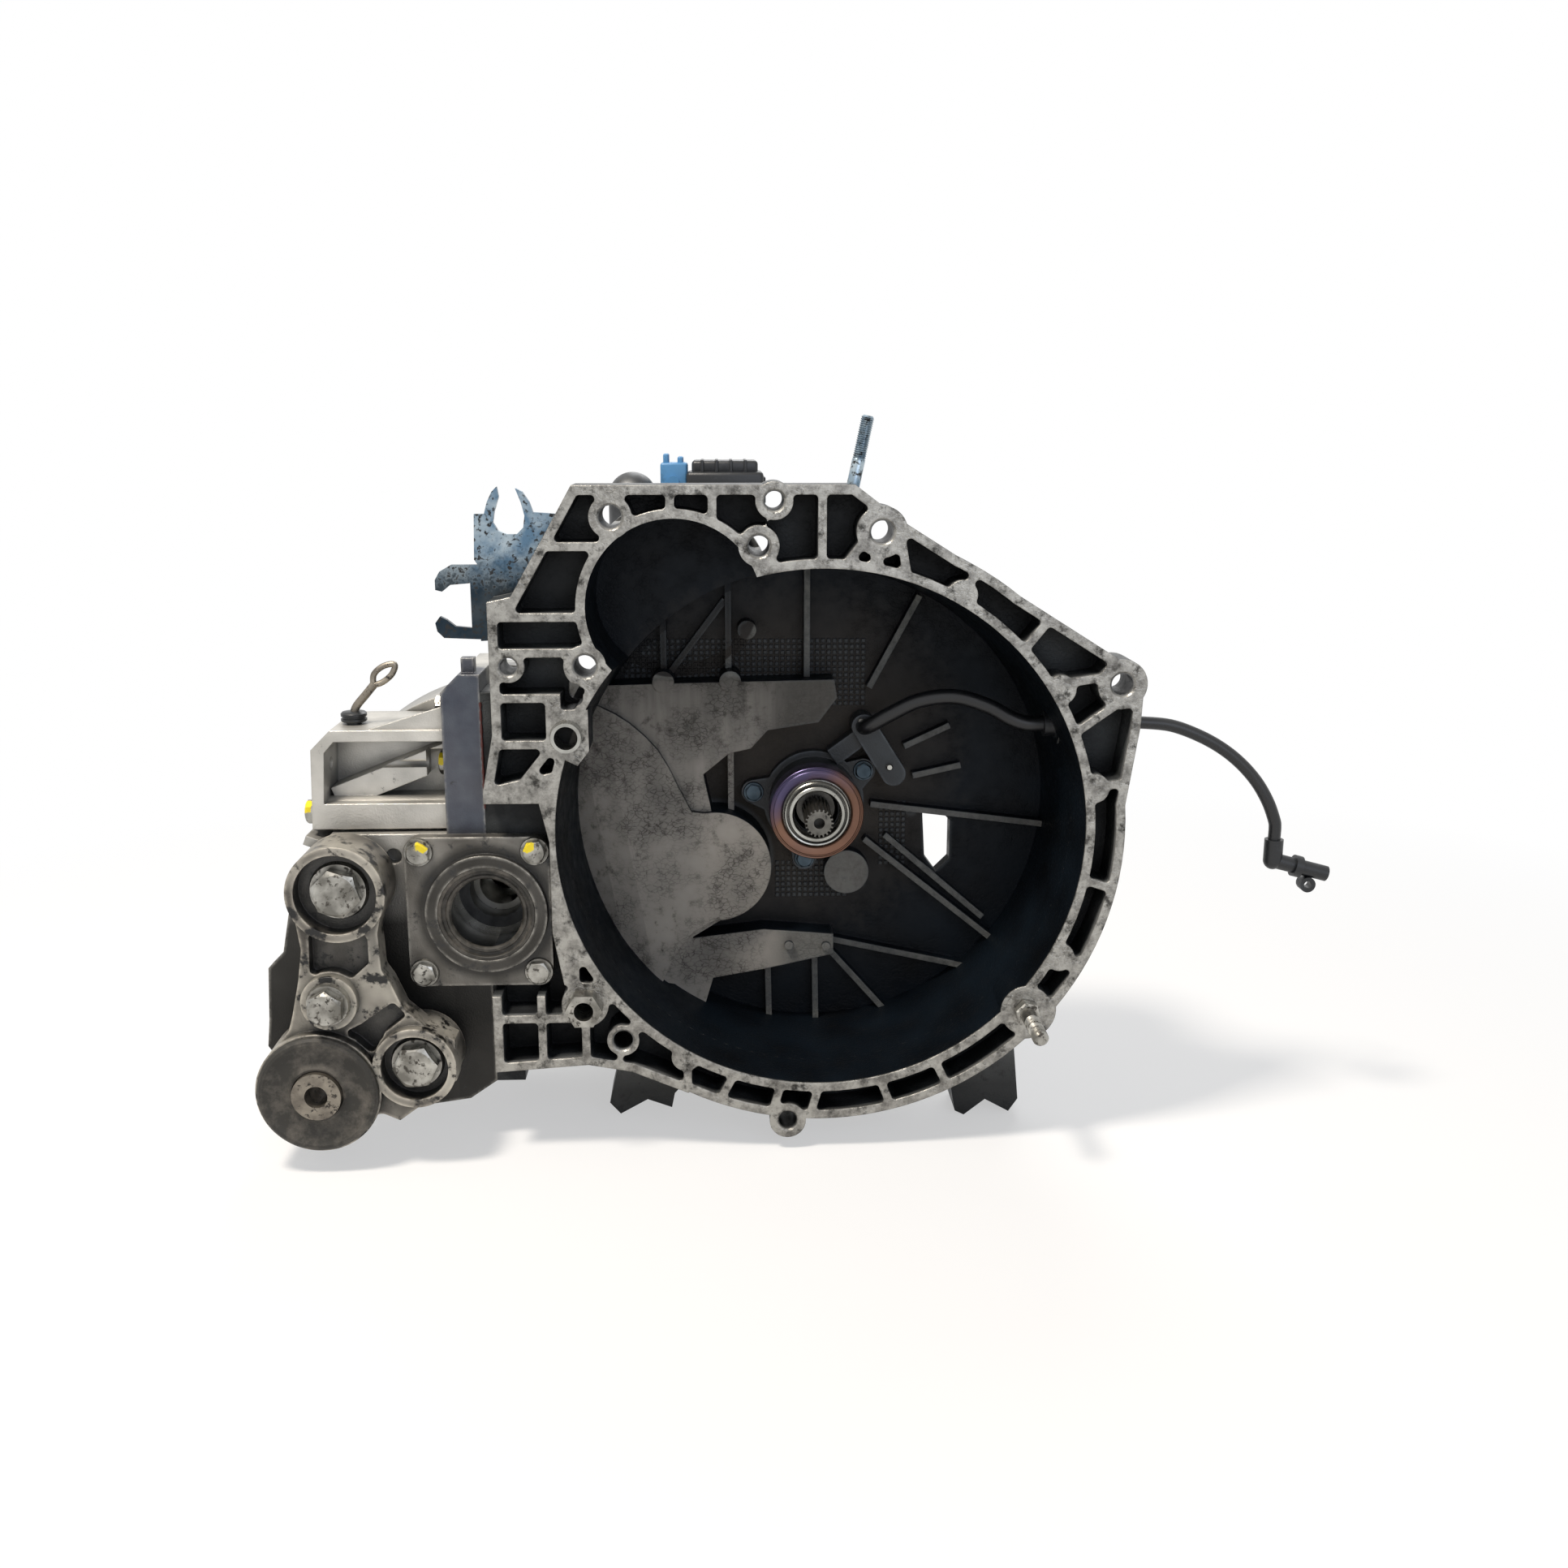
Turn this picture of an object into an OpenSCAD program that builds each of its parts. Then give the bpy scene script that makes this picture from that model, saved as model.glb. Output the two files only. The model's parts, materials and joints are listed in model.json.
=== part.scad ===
// Manual transaxle of a transverse engine, seen from the engine face.
// The origin lies on the input shaft's axis in the engine face of the bell housing.
// X runs to the engine's right, Y runs back through the gearbox and Z is up.

/* [Bell housing] */
// Depth from the engine face to the joint with the gear casing
bell_depth = 112; // [108:1:118]
// Radius of the bell's mouth
mouth_r = 162; // [158:1:165]
// Radius of the bell where its wall meets the floor
floor_r = 154; // [150:1:157]
// Thickness of the bell's floor
floor_t = 12; // [10:1:14]
// Outer radius of the bolting rim
rim_r = 186; // [183:1:190]
// Depth of the bolting rim
rim_depth = 32; // [28:1:36]
// Depth of the weight-saving pockets in the rim
pocket_depth = 25; // [18:1:26]
// Thickness of the rim's thin walls
rim_wall = 5.5; // [4.5:0.5:7]
// Thickness of the rim's cross ribs
rim_rib = 5; // [4:0.5:6]
// Wall of the castings
wall = 8; // [7:0.5:9]
// Height of the raised floor over the final drive
plateau_h = 25; // [23:1:26]
// Radius of the starter motor's pocket
starter_r = 52; // [48:1:54]
// Thickness of the ribs on the bell's floor
floor_rib = 4; // [3:0.5:6]
// Radius of the chamfered mouth of each bolt hole over the hole itself
hole_lip = 1.5; // [0.5:0.5:2]

/* [Gear casing] */
// Length of the gear casing
casing_len = 178; // [176:1:186]
// Length of the end cover
cover_len = 56; // [54:1:66]
// Radius of the casing round the input shaft
input_case_r = 60; // [58:1:64]
// Radius of the casing round the output shaft
output_case_r = 80; // [78:1:84]
// Radius of the casing round the final drive
final_case_r = 127; // [126:1:130]
// Width of the bolted lips
lip_w = 14; // [13:1:16]
// Thickness of the bolted lips
lip_t = 12; // [10:1:14]

/* [Gears] */
// Module of the speed gears
gear_m = 2.75; // [2.7:0.05:2.8]
// Module of the final drive
final_m = 3; // [2.95:0.05:3.05]
// Face width of the speed gears
gear_w = 16; // [14:1:16]
// Face width of the final drive's ring gear
ring_w = 30; // [26:1:31]
// Backlash between meshing teeth, at the pitch circle
backlash = 0.6; // [0.4:0.1:0.8]
// Radius of the gearbox shafts
shaft_r = 15; // [14:0.5:15.5]
// Running clearance of a shaft in its bore
run_gap = 0.05; // [0.02:0.01:0.1]
// Length of a synchroniser hub and its sleeve
hub_w = 14; // [12:1:14]
// Outer radius of the synchroniser sleeves
sleeve_r = 37; // [36:0.5:39]
// Radius of the synchroniser hubs
hub_r = 28; // [27:0.5:29]
// Travel of a sleeve from neutral into gear
sleeve_travel = 5; // [4:0.5:5]
// Clearance between sliding pieces
slide_gap = 0.4; // [0.3:0.05:0.6]

/* [Bearings] */
// Width of the shaft bearings
bearing_w = 18; // [16:1:18]
// Outer radius of the input shaft's bearings
input_brg_r = 26; // [24:0.5:28]
// Outer radius of the output shaft's bearings
output_brg_r = 31; // [29:0.5:32]
// Outer radius of the differential's bearings
diff_brg_r = 36; // [34:0.5:38]

/* [Differential] */
// Outer radius of the carrier's tubular necks
neck_r = 25; // [24:0.5:27]
// Radius of the carrier's body
carrier_r = 50; // [46:1:52]
// Radius of the bore for a drive shaft
drive_bore_r = 14; // [12:0.5:15]
// Offset of the retaining plate's bolt pattern from the drive axis
plate_shift = -5; // [-6:0.5:-4]
// Thickness of the output bearing's retaining plate
plate_t = 9; // [7:0.5:11]
// Half width of the retaining plate's bolt pattern
plate_bolt_x = 35.5; // [34:0.5:36.5]
// Half height of the retaining plate's bolt pattern
plate_bolt_z = 39; // [37:0.5:41]
// Outer radius of the retaining plate's raised ring
plate_ring_r = 37.5; // [35:0.5:39]
// Radius of the oil seal
seal_r = 30; // [28:0.5:32]

/* [Release gear] */
// Radius of the clutch release bearing
release_r = 30.5; // [29:0.5:33]
// Distance of the bearing's face from the bell's floor
release_reach = 48; // [47:1:50]
// Travel of the bearing toward the engine
release_travel = 10; // [6:1:11]
// Radius of the guide tube round the input shaft
guide_r = 17.5; // [17:0.5:19]
// Radius of the clutch splines
spline_r = 9; // [8:0.5:11]
// How far the input shaft's tip stands out of the bearing's face
tip_out = 22; // [14:1:30]

/* [Torque bracket] */
// Depth of the bracket's bosses
bracket_t = 34; // [30:1:38]
// Radius of the eye that holds the rubber bush
eye_r = 38; // [36:0.5:41]
// Wall of the eye
eye_wall = 7; // [5:0.5:9]
// Outer radius of the bush's steel sleeve
bush_sleeve_r = 15; // [13:0.5:17]
// Radius of the bush's bolt hole
bush_hole_r = 7; // [6:0.5:8]
// Radius of the bracket's bolts
bracket_bolt_r = 8; // [7:0.5:9]

/* [Fasteners] */
// Radius of the casing bolts
bolt_r = 4; // [3.5:0.5:5]
// Clearance of a bolt in its hole
bolt_gap = 0.4; // [0.3:0.1:0.6]
// Radius of the engine stud
stud_r = 5; // [4:0.5:6]
// How far the engine stud stands out of the engine face
stud_out = 47; // [40:1:55]
// Radius of the clutch hose
hose_r = 4; // [3.5:0.5:4.5]

/* [Shift gear] */
// Radius of the fork rail
rail_r = 7; // [6:0.5:8]
// Radius of the selector shaft
selector_r = 8; // [7:0.5:9]
// Radius of the shift turret
turret_r = 25; // [23:0.5:28]
// Height of the turret's top above the input shaft
turret_top = 150; // [140:1:160]
// Thickness of the cable bracket's sheet
sheet_t = 4; // [3:0.5:5]

/* [Hidden] */
$fn = 64;

// Overshoot of a cut past the face that it opens.
cut = 1;
// How deep pieces of one casting reach into each other.
sink = 2;

// Tooth counts of the speed gears on the input and the output shaft.
teeth_in = [13, 19, 24, 28, 31];
teeth_sum = 56;
teeth_out = [for (z = teeth_in) teeth_sum - z];
// Height of a tooth above the pitch circle, as a share of the module.
tip_share = 0.78;
pinion_teeth = 20;
ring_teeth = 74;

// Shaft axes across the gearbox, as [x, z].
centre = gear_m * teeth_sum / 2;
final_centre = final_m * (pinion_teeth + ring_teeth) / 2;
output_x = -66;
output_axis = [output_x, -sqrt(centre * centre - output_x * output_x)];
diff_z = -50;
diff_drop = diff_z - output_axis[1];
diff_axis = [output_x - sqrt(final_centre * final_centre - diff_drop * diff_drop), diff_z];
joint_x = diff_axis[0];
rail_axis = [-72, 46];
rail_case_r = 30;
starter_axis = [-88, 139];

// Stations along the gearbox, as distances from the engine face.
floor_y = bell_depth - floor_t;
plateau_y = floor_y - plateau_h;
casing_end = bell_depth + casing_len;
lip_step = 2;
end_wall = bearing_w + lip_step;
dog_gap = 2;
dog_w = sleeve_travel - dog_gap + 1;
sync_w = hub_w + 2 * (dog_w + dog_gap);
gear_step = 4;
output_brg_y = plateau_y + wall;
pinion_y = output_brg_y + bearing_w + gear_step + 1;
pinion_w = ring_w + gear_step;
ring_y = pinion_y + gear_step / 2;
gear_y1 = pinion_y + pinion_w + gear_step;
gear_y2 = gear_y1 + gear_w + sync_w;
gear_y3 = gear_y2 + gear_w + gear_step;
gear_y4 = gear_y3 + gear_w + sync_w;
gear_y5 = casing_end + gear_step + lip_step;
gear_ys = [gear_y1, gear_y2, gear_y3, gear_y4, gear_y5];
rear_brg_y = casing_end - bearing_w;
input_brg_y = floor_y + gear_step;
tooth_turn = atan2(output_axis[1], output_axis[0]);
final_turn = atan2(diff_axis[1] - output_axis[1], diff_axis[0] - output_axis[0]);

// Differential stations.
carrier_y = ring_y - 23;
diff_front_y = carrier_y - 8 - bearing_w;
carrier_end = ring_y + ring_w + 24;
diff_rear_y = carrier_end + 8;
diff_end = diff_rear_y + bearing_w;
plate_y = 13;
plate_round = 9;
plate_mid = diff_axis + [plate_shift, 0];
plate_spots = [for (sx = [-1, 1], sz = [-1, 1]) plate_mid + [sx * plate_bolt_x, sz * plate_bolt_z]];
seat_y = plate_y + plate_t;
diff_room = 4;
ring_tip_r = final_m * (ring_teeth / 2 + 1);
ring_room_r = ring_tip_r + diff_room;
neck_room_r = neck_r + 5;
diff_mid = (carrier_y + carrier_end) / 2;
pin_r = 8;
pinion_gear_r = 17;
pinion_back = sqrt(pow(carrier_r - wall, 2) - pow(pinion_gear_r, 2)) - slide_gap;
carrier_flange_r = carrier_r + 22;
ring_web = 10;

// Side housing stations and the places of its bolts, as [y, z].
side_end = ring_y + ring_w + diff_room + wall;
side_low = -166;
side_high = 97;
side_flange_t = 18;
side_face_t = 24;
side_spots = [[42, 74], [84, 74], [46, 38], [42, -150], [84, -150]];
side_seat = [
    [joint_x, -2], [-302, -2], [-318, -18], [-330, -48], [-336, -78], [-346, -88], [-348, -122], [-350, -140],
    [-332, -168], [-280, -186], [-224, -178], [joint_x, -166]
];
long_spot = [42, 8];
long_x = -314;

// Engine-face bosses: x, z, boss radius and hole radius.
face_bosses = [
    [34, 183, 15, 6.5], [180, 92, 15, 6.5], [-21, -187, 11.5, 5.5], [-29, 201, 11, 5.5],
    [-38, 175, 12, 6], [-124, 192, 12.5, 6.5], [-141, 105, 12.5, 6.5], [-186, 105, 9.5, 5],
    [-124, -131, 10, 6]
];
stud_at = [129, -115];
stud_in = 22;
// Length of the grooves behind the rim that the bolts pass through.
groove_len = 40;
top_stud_r = 4;
dowel_at = [-153, 63];
fitting_at = [-147, -107];
dowel_r = 9;
dowel_bore_r = 7;
dowel_out = 6;
dowel_in = 12;
dowel_seat_r = dowel_r + 0.5;
fitting_r = 11.5;
fitting_bore_r = 6;

// Cross ribs of the rim: x and z of both ends.
face_ribs = [
    [-89, 212, -90, 186], [-65, 212, -65, 184], [-1, 212, -1, 158], [24, 178, 8, 158],
    [45, 180, 50, 152], [92, 166, 82, 142], [138, 136, 114, 106], [172, 97, 140, 92],
    [180, 82, 146, 58], [190, 32, 160, 28], [186, -38, 156, -28], [168, -87, 146, -78],
    [84, -172, 70, -144], [46, -182, 36, -156], [0, -160, -7, -184], [-24, -158, -31, -182],
    [-84, -172, -84, -142], [-68, -180, -52, -150], [-162, 175, -128, 175], [-190, 134, -142, 134],
    [-190, 113, -150, 113], [-200, 86, -156, 86], [-200, 58, -160, 58], [-166, 52, -198, 12],
    [-174, -98, -174, -152], [-147, -110, -147, -152], [-208, -116, -140, -116]
];

// Half-round lugs on the inner side of the rim.
rim_lugs = [[82, 146], [143, 89], [166, 28], [149, -80], [-85, -143]];
rim_lug_r = 9;

// Feet below the bell, behind the rim.
foot_y = 46;
foot_t = 34;
right_foot = [
    [64, -146], [88, -176], [93, -204], [99, -207], [113, -196], [129, -205], [135, -196], [126, -104]
];
left_foot = [[-58, -148], [-94, -188], [-96, -198], [-112, -192], [-130, -202], [-137, -194], [-118, -112]];

// Ribs on the bell's floor: x and z of both ends and height.
floor_ribs = [
    [38, -3, 156, -18, 9], [34, -27, 124, -100, 9], [48, -25, 116, -84, 6], [6, -96, 104, -118, 9],
    [10, -104, 50, -150, 8], [1, -104, 2, -156, 8], [-31, -108, -30, -156, 8], [68, 136, 36, 76, 10],
    [60, 36, 90, 50, 8], [66, 16, 98, 23, 8], [-98, 144, -98, 78, 12], [-56, 150, -56, 78, 12],
    [-5, 158, -5, 76, 12], [-134, 102, -98, 136, 10], [-96, 84, -58, 134, 10], [-55, 40, -55, -8, 14]
];
floor_pads = [[-98, 83, 7, 26], [-55, 83, 7, 26], [-44, 115, 6, 16], [22, -49, 15, 12]];

// Raised floor over the final drive and the platform below it.
plateau = [
    [-170, 80], [-98, 82], [12, 84], [14, 72], [2, 56], [-31, 51], [-42, 39], [-56, 36], [-73, 22],
    [-68, -2], [-60, -76], [-81, -89], [-94, -122], [-130, -116], [-176, -30]
];
platform = [
    [-84, -92], [-34, -86], [13, -90], [13, -104], [-33, -114], [-68, -120], [-74, -140], [-104, -126]
];
platform_y = 80;
// The proudest part of the raised floor, and the ridge from which it slopes to the bell's wall.
bulge_h = 4;
bulge = [
    [-170, 76], [-139, 68], [-129, 63], [-120, 57], [-110, 48], [-102, 39], [-95, 27], [-89, 14], [-81, -2],
    [-66, -4], [-66, -76], [-80, -84], [-92, -98], [-104, -124], [-130, -116], [-176, -30]
];
ridge_at = [-138, 67];
ridge_turn = -9.8;
slope = [[0, -1], [-60, -1], [-60, 30], [-17, 5], [0, 0]];
window = [[74, -10], [86, -10], [93, -17], [93, -44], [84, -53], [76, -42]];

// Slave cylinder: its stations, the ears round the guide tube and the fluid port.
release_y = floor_y - release_reach;
tip_y = release_y - tip_out;
slave_base_y = floor_y - 8;
slave_mouth_y = release_y + 22;
piston_end = slave_mouth_y + release_travel + 4;
piston_r = guide_r + 7;
slave_ears = [[-40, 6], [33, 20], [-6, -40]];
slave_ear_r = 8;
slave_bolt_r = 3;
slave_port = [32, 52];
pipe_r = 5;

// Torque bracket: x, z and radius of each boss, depth of its recess and radius of its bolt's head.
bracket_spots = [[-291, -28, 29.5, 12, 15.5], [-299, -96, 17, 0, 11], [-250, -139, 25.5, 12, 14]];
bracket_body = [
    [-318, -40], [-315, -64], [-318, -84], [-323, -106], [-326, -116], [-345, -140], [-309, -154],
    [-262, -176], [-226, -150], [-226, -124], [-244, -114], [-256, -103],
    [-263, -86], [-268, -78], [-269, -54], [-264, -33]
];
bracket_pockets = [
    [[-310, -52], [-275, -52], [-275, -73], [-287, -84], [-311, -84]],
    [[-296, -119], [-282, -112], [-262, -98], [-254, -107], [-268, -118], [-276, -134], [-284, -134]],
    [[-322, -118], [-312, -110], [-296, -118], [-320, -128], [-336, -138]]
];
eye_at = [-309, -154];
bracket_y = seat_y - 8 - bracket_t;
bracket_seat = bracket_y + bracket_t;
bracket_step = 7;
bracket_hollow = 9;
bracket_lip = 5;
bush_lip = 4;

// The box above the differential and the breather on it, as [x, y].
side_box_top = 62;
breather_at = [-290, 52];
breather_r = 5;

// Shift turret on the casing's roof.
turret_y = gear_y2 + gear_w + gear_step / 2;
turret_base = rail_axis[1] + rail_case_r + 8;
turret_flange_r = turret_r + 15;
turret_flange_t = 8;
turret_bolt_at = turret_r + 7;
turret_bore_r = selector_r + 5;
turret_turns = [30, 150, 270];
selector_top = 200;

// The cable forks: the upright one with its base, then the side one.
cable_forks = [
    [-208, 165], [-207, 192], [-201, 192], [-199, 199], [-196, 205], [-193, 208], [-192, 202], [-195, 193],
    [-196, 187], [-193, 182], [-188, 180], [-182, 180], [-178, 184], [-177, 191], [-179, 199], [-182, 207],
    [-178, 205], [-174, 199], [-172, 193], [-158, 192], [-150, 178], [-150, 150], [-170, 118], [-206, 116],
    [-206, 162]
];
cable_hook = [
    [-204, 162], [-222, 162], [-229, 158], [-232, 153], [-232, 147], [-228, 146], [-223, 150], [-211, 151],
    [-211, 124], [-221, 125], [-226, 129], [-230, 131], [-233, 127], [-232, 122], [-228, 118], [-204, 117]
];
fork_fold = 22;

// Clutch hose: its gland on the bell and the route's own points.
gland_y = 45;
gland_z = 60;
gland_r = 8;
gland_seat_x = mouth_r + 12;
// Radius of the bell's wall at the gland, whose inner end stands clear of that wall.
gland_wall_r = mouth_r - (mouth_r - floor_r) * gland_y / floor_y;
gland_in_x = sqrt(pow(gland_wall_r, 2) - pow(gland_z + gland_r, 2)) - 1;
hose_start_x = gland_seat_x + 22;
hose_shape = [
    [0, 0, 0], [10, 0, 0], [28, 0, -2], [45, -1, -8], [60, -2, -16], [73, -3, -26],
    [84, -4, -38], [92, -5, -51], [97, -5, -63], [98, -5, -68], [98, -5, -76]
];
hose_route = [for (p = hose_shape) [hose_start_x, gland_y, gland_z] + p];
hose_end = hose_route[len(hose_route) - 1];

// The pipe inside the bell: its first points lie off the release cylinder, the others off the gland.
pipe_base = [slave_port[0], slave_base_y, slave_port[1]];
pipe_start = [[0, -2, 0], [0, -14, 0], [4, -21, 3], [16, -26, 11]];
pipe_finish = [[-76, 18, 12], [-54, 14, 15], [-34, 8, 10], [-20, 2, 3], [-10, 0, 0], [0, 0, 0]];
pipe_route = concat(
    [for (p = pipe_start) pipe_base + p],
    [for (p = pipe_finish) [gland_in_x, gland_y, gland_z] + p]
);

// A profile drawn in x and z, drawn out along y.
module along_y(y0, h) {
    translate([0, y0 + h, 0]) rotate([90, 0, 0]) linear_extrude(h) children();
}

// A round bar along y at the point p, given as [x, z].
module rod(p, y0, h, r) {
    translate([p[0], y0, p[1]]) rotate([-90, 0, 0]) cylinder(h = h, r = r);
}

// A round bar along y that changes radius from r1 to r2.
module cone_rod(p, y0, h, r1, r2) {
    translate([p[0], y0, p[1]]) rotate([-90, 0, 0]) cylinder(h = h, r1 = r1, r2 = r2);
}

// A tube along y.
module tube(p, y0, h, r, bore) {
    difference() {
        rod(p, y0, h, r);
        rod(p, y0 - cut, h + 2 * cut, bore);
    }
}

// A straight bar of width w between two points of a profile.
module bar(a, b, w) {
    d = b - a;
    translate(a) rotate(atan2(d[1], d[0])) translate([0, -w / 2]) square([norm(d), w]);
}

// A belt round two circles; its straight sides start just inside them.
module belt(a, ra, b, rb) {
    d = b - a;
    turn = atan2(d[1], d[0]);
    lean = acos((ra - rb) / norm(d));
    inner = 0.995;
    function on(c, r, t) = c + inner * r * [cos(t), sin(t)];
    translate(a) circle(ra);
    translate(b) circle(rb);
    polygon([
        on(a, ra, turn + lean), on(b, rb, turn + lean),
        on(b, rb, turn - lean), on(a, ra, turn - lean)
    ]);
}

// Half of the space right of the side joint, for trimming profiles.
module right_half() {
    translate([joint_x, -400]) square([800, 800]);
}

module left_half() {
    translate([joint_x - 800, -400]) square([800, 800]);
}

// A hexagon bolt along +y whose head sits in front of y0.
module bolt_y(p, y0, len, r) {
    translate([p[0], y0, p[1]]) rotate([-90, 0, 0]) {
        translate([0, 0, -1.4 * r]) cylinder(h = 1.4 * r, r = 1.9 * r, $fn = 6);
        translate([0, 0, -2]) cylinder(h = 2, r = 2.3 * r);
        translate([0, 0, -1]) cylinder(h = len + 1, r = r);
    }
}

// Outline of one gear with straight-sided segments along its involute flanks.
function involute(a) = tan(a) * 180 / PI - a;
function flank(r, rb) =
    let (a = r > rb ? acos(rb / r) : 0)
    involute(20) - involute(a);
module gear_profile(z, m, turn) {
    rp = m * z / 2;
    rb = rp * cos(20);
    half = 90 / z - backlash / 4 / rp * 180 / PI;
    root = rp - 1.2 * m;
    steps = [root, max(root + 0.1, rb), rp, rp + 0.4 * m, rp + tip_share * m];
    up = [for (r = steps) [r, -(half + flank(r, rb))]];
    down = [for (i = [len(steps) - 1:-1:0]) [steps[i], half + flank(steps[i], rb)]];
    polygon([
        for (i = [0:z - 1]) for (p = concat(up, down))
            let (t = turn + i * 360 / z + p[1]) [p[0] * cos(t), p[0] * sin(t)]
    ]);
}

// A spur gear along y with a round bore.
module gear(p, y0, w, z, m, turn, bore) {
    difference() {
        translate([p[0], 0, p[1]]) along_y(y0, w) gear_profile(z, m, turn);
        rod(p, y0 - cut, w + 2 * cut, bore);
    }
}

// Profiles of the castings.

// Outline of the engine face.
module face_outline() {
    circle(rim_r);
    polygon([
        [-146, 210], [18, 210], [46, 189], [176, 108], [193, 92], [192, 66], [rim_r - 1, 16],
        [90, -90], [-84, -167], [-119, -152], [-146, -147], [-204, -151], [-204, 29], [-197, 64],
        [-197, 143], [-183, 146], [-154, 196]
    ]);
    for (b = face_bosses) translate([b[0], b[1]]) circle(b[2]);
    translate(stud_at) circle(19);
}

// The bell's mouth and the starter's pocket.
module mouth_outline() {
    circle(mouth_r);
    translate(starter_axis) circle(starter_r);
}

// The pad under the dowel.
module dowel_pad() {
    translate(dowel_at) polygon([[-12, 16], [13, 16], [13, -9], [6, -18], [-12, -9]]);
}

// Weight-saving pockets between the rim's walls and ribs.
module face_pockets() {
    offset(r = 2.5, $fn = 20) offset(delta = -2.5) difference() {
        offset(delta = -rim_wall) face_outline($fn = 96);
        offset(delta = rim_wall) mouth_outline($fn = 96);
        for (b = face_bosses) translate([b[0], b[1]]) circle(b[2], $fn = 32);
        for (r = face_ribs) bar([r[0], r[1]], [r[2], r[3]], rim_rib);
        for (l = rim_lugs) translate(l) circle(rim_lug_r, $fn = 32);
        translate(stud_at) circle(16, $fn = 32);
        translate(fitting_at) circle(fitting_r + 3, $fn = 32);
        dowel_pad();
        polygon([[-210, 30], [-166, 40], [-150, -30], [-150, -92], [-210, -101]]);
    }
}

// Outline round the gear shafts and the fork rail.
module shaft_outline(grow) {
    belt([0, 0], input_case_r + grow, output_axis, output_case_r + grow);
    belt(rail_axis, rail_case_r + grow, output_axis, 40 + grow);
    belt(rail_axis, rail_case_r + grow, [0, 0], 40 + grow);
}

// Outline round the shafts and the final drive.
module casing_outline(grow) {
    shaft_outline(grow);
    intersection() {
        belt(output_axis, output_case_r + grow, diff_axis, final_case_r + grow);
        right_half();
    }
}

casing_spots = [
    for (t = [-62, -8, 52]) (input_case_r + lip_w / 2) * [cos(t), sin(t)],
    for (t = [-60, -100]) output_axis + (output_case_r + lip_w / 2) * [cos(t), sin(t)],
    for (t = [-78, 62]) diff_axis + (final_case_r + lip_w / 2) * [cos(t), sin(t)],
    rail_axis + (rail_case_r + lip_w / 2) * [cos(130), sin(130)]
];
cover_spots = [
    for (t = [-62, -8, 52]) (input_case_r + lip_w / 2) * [cos(t), sin(t)],
    for (t = [-60, -130, 160]) output_axis + (output_case_r + lip_w / 2) * [cos(t), sin(t)],
    rail_axis + (rail_case_r + lip_w / 2) * [cos(130), sin(130)]
];

// Room for the differential, its ring gear and its bearings.
module diff_room_cut() {
    rod(diff_axis, seat_y - cut, diff_front_y - seat_y + 2 * cut, neck_room_r);
    rod(diff_axis, diff_front_y, bearing_w, diff_brg_r);
    rod(diff_axis, carrier_y - 8 - cut, 8 + cut, diff_brg_r - 3);
    rod(diff_axis, carrier_y - diff_room, carrier_end - carrier_y + 2 * diff_room, carrier_r + diff_room);
    rod(diff_axis, ring_y - diff_room, ring_w + 2 * diff_room, ring_room_r);
    rod(diff_axis, carrier_end, diff_rear_y - carrier_end + cut, diff_brg_r - 3);
    rod(diff_axis, diff_rear_y, bearing_w, diff_brg_r);
    rod(diff_axis, diff_end - cut, 40, neck_room_r);
}

// Outer shape of the differential's neck, bearings and ring on one half.
module diff_shell(y0, y1) {
    module slice(a, b, r) {
        a1 = max(a, y0);
        b1 = min(b, y1);
        if (b1 > a1) along_y(a1, b1 - a1) intersection() {
            translate(diff_axis) circle(r);
            children();
        }
    }
    slice(seat_y, carrier_y, diff_brg_r + wall + 8) children();
    skin = diff_room + wall;
    slice(carrier_y - skin, carrier_end + skin, carrier_r + skin) children();
    slice(ring_y - skin, ring_y + ring_w + skin, final_case_r) children();
    slice(carrier_end, diff_end + 12, diff_brg_r + wall) children();
}

// The castings.

module bell_shell() {
    difference() {
        union() {
            along_y(0, rim_depth) face_outline();
            cone_rod([0, 0], rim_depth - sink, bell_depth - rim_depth + sink,
                mouth_r + wall + 2, floor_r + wall + 2);
            rod(starter_axis, rim_depth - sink, floor_y - rim_depth - 6, starter_r + wall);
            diff_shell(seat_y, bell_depth) right_half();
            along_y(foot_y, foot_t) {
                polygon(right_foot);
                polygon(left_foot);
            }
            along_y(bell_depth - lip_t, lip_t) casing_outline(lip_w);
            translate([joint_x, seat_y, side_low])
                cube([side_flange_t, bell_depth - seat_y, side_high - 11 - side_low]);
        }
        translate([0, -cut, 0]) rotate([-90, 0, 0])
            cylinder(h = floor_y + cut, r1 = mouth_r, r2 = floor_r);
        rod(starter_axis, -cut, floor_y - wall - 8 + cut, starter_r);
        along_y(-cut, pocket_depth + cut) face_pockets();
        along_y(-cut, seat_y + cut)
            polygon([[-260, 22], [-171, 22], [-165.5, -2], [-165.5, -60], [-158, -101], [-260, -101]]);
    }
}

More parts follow.
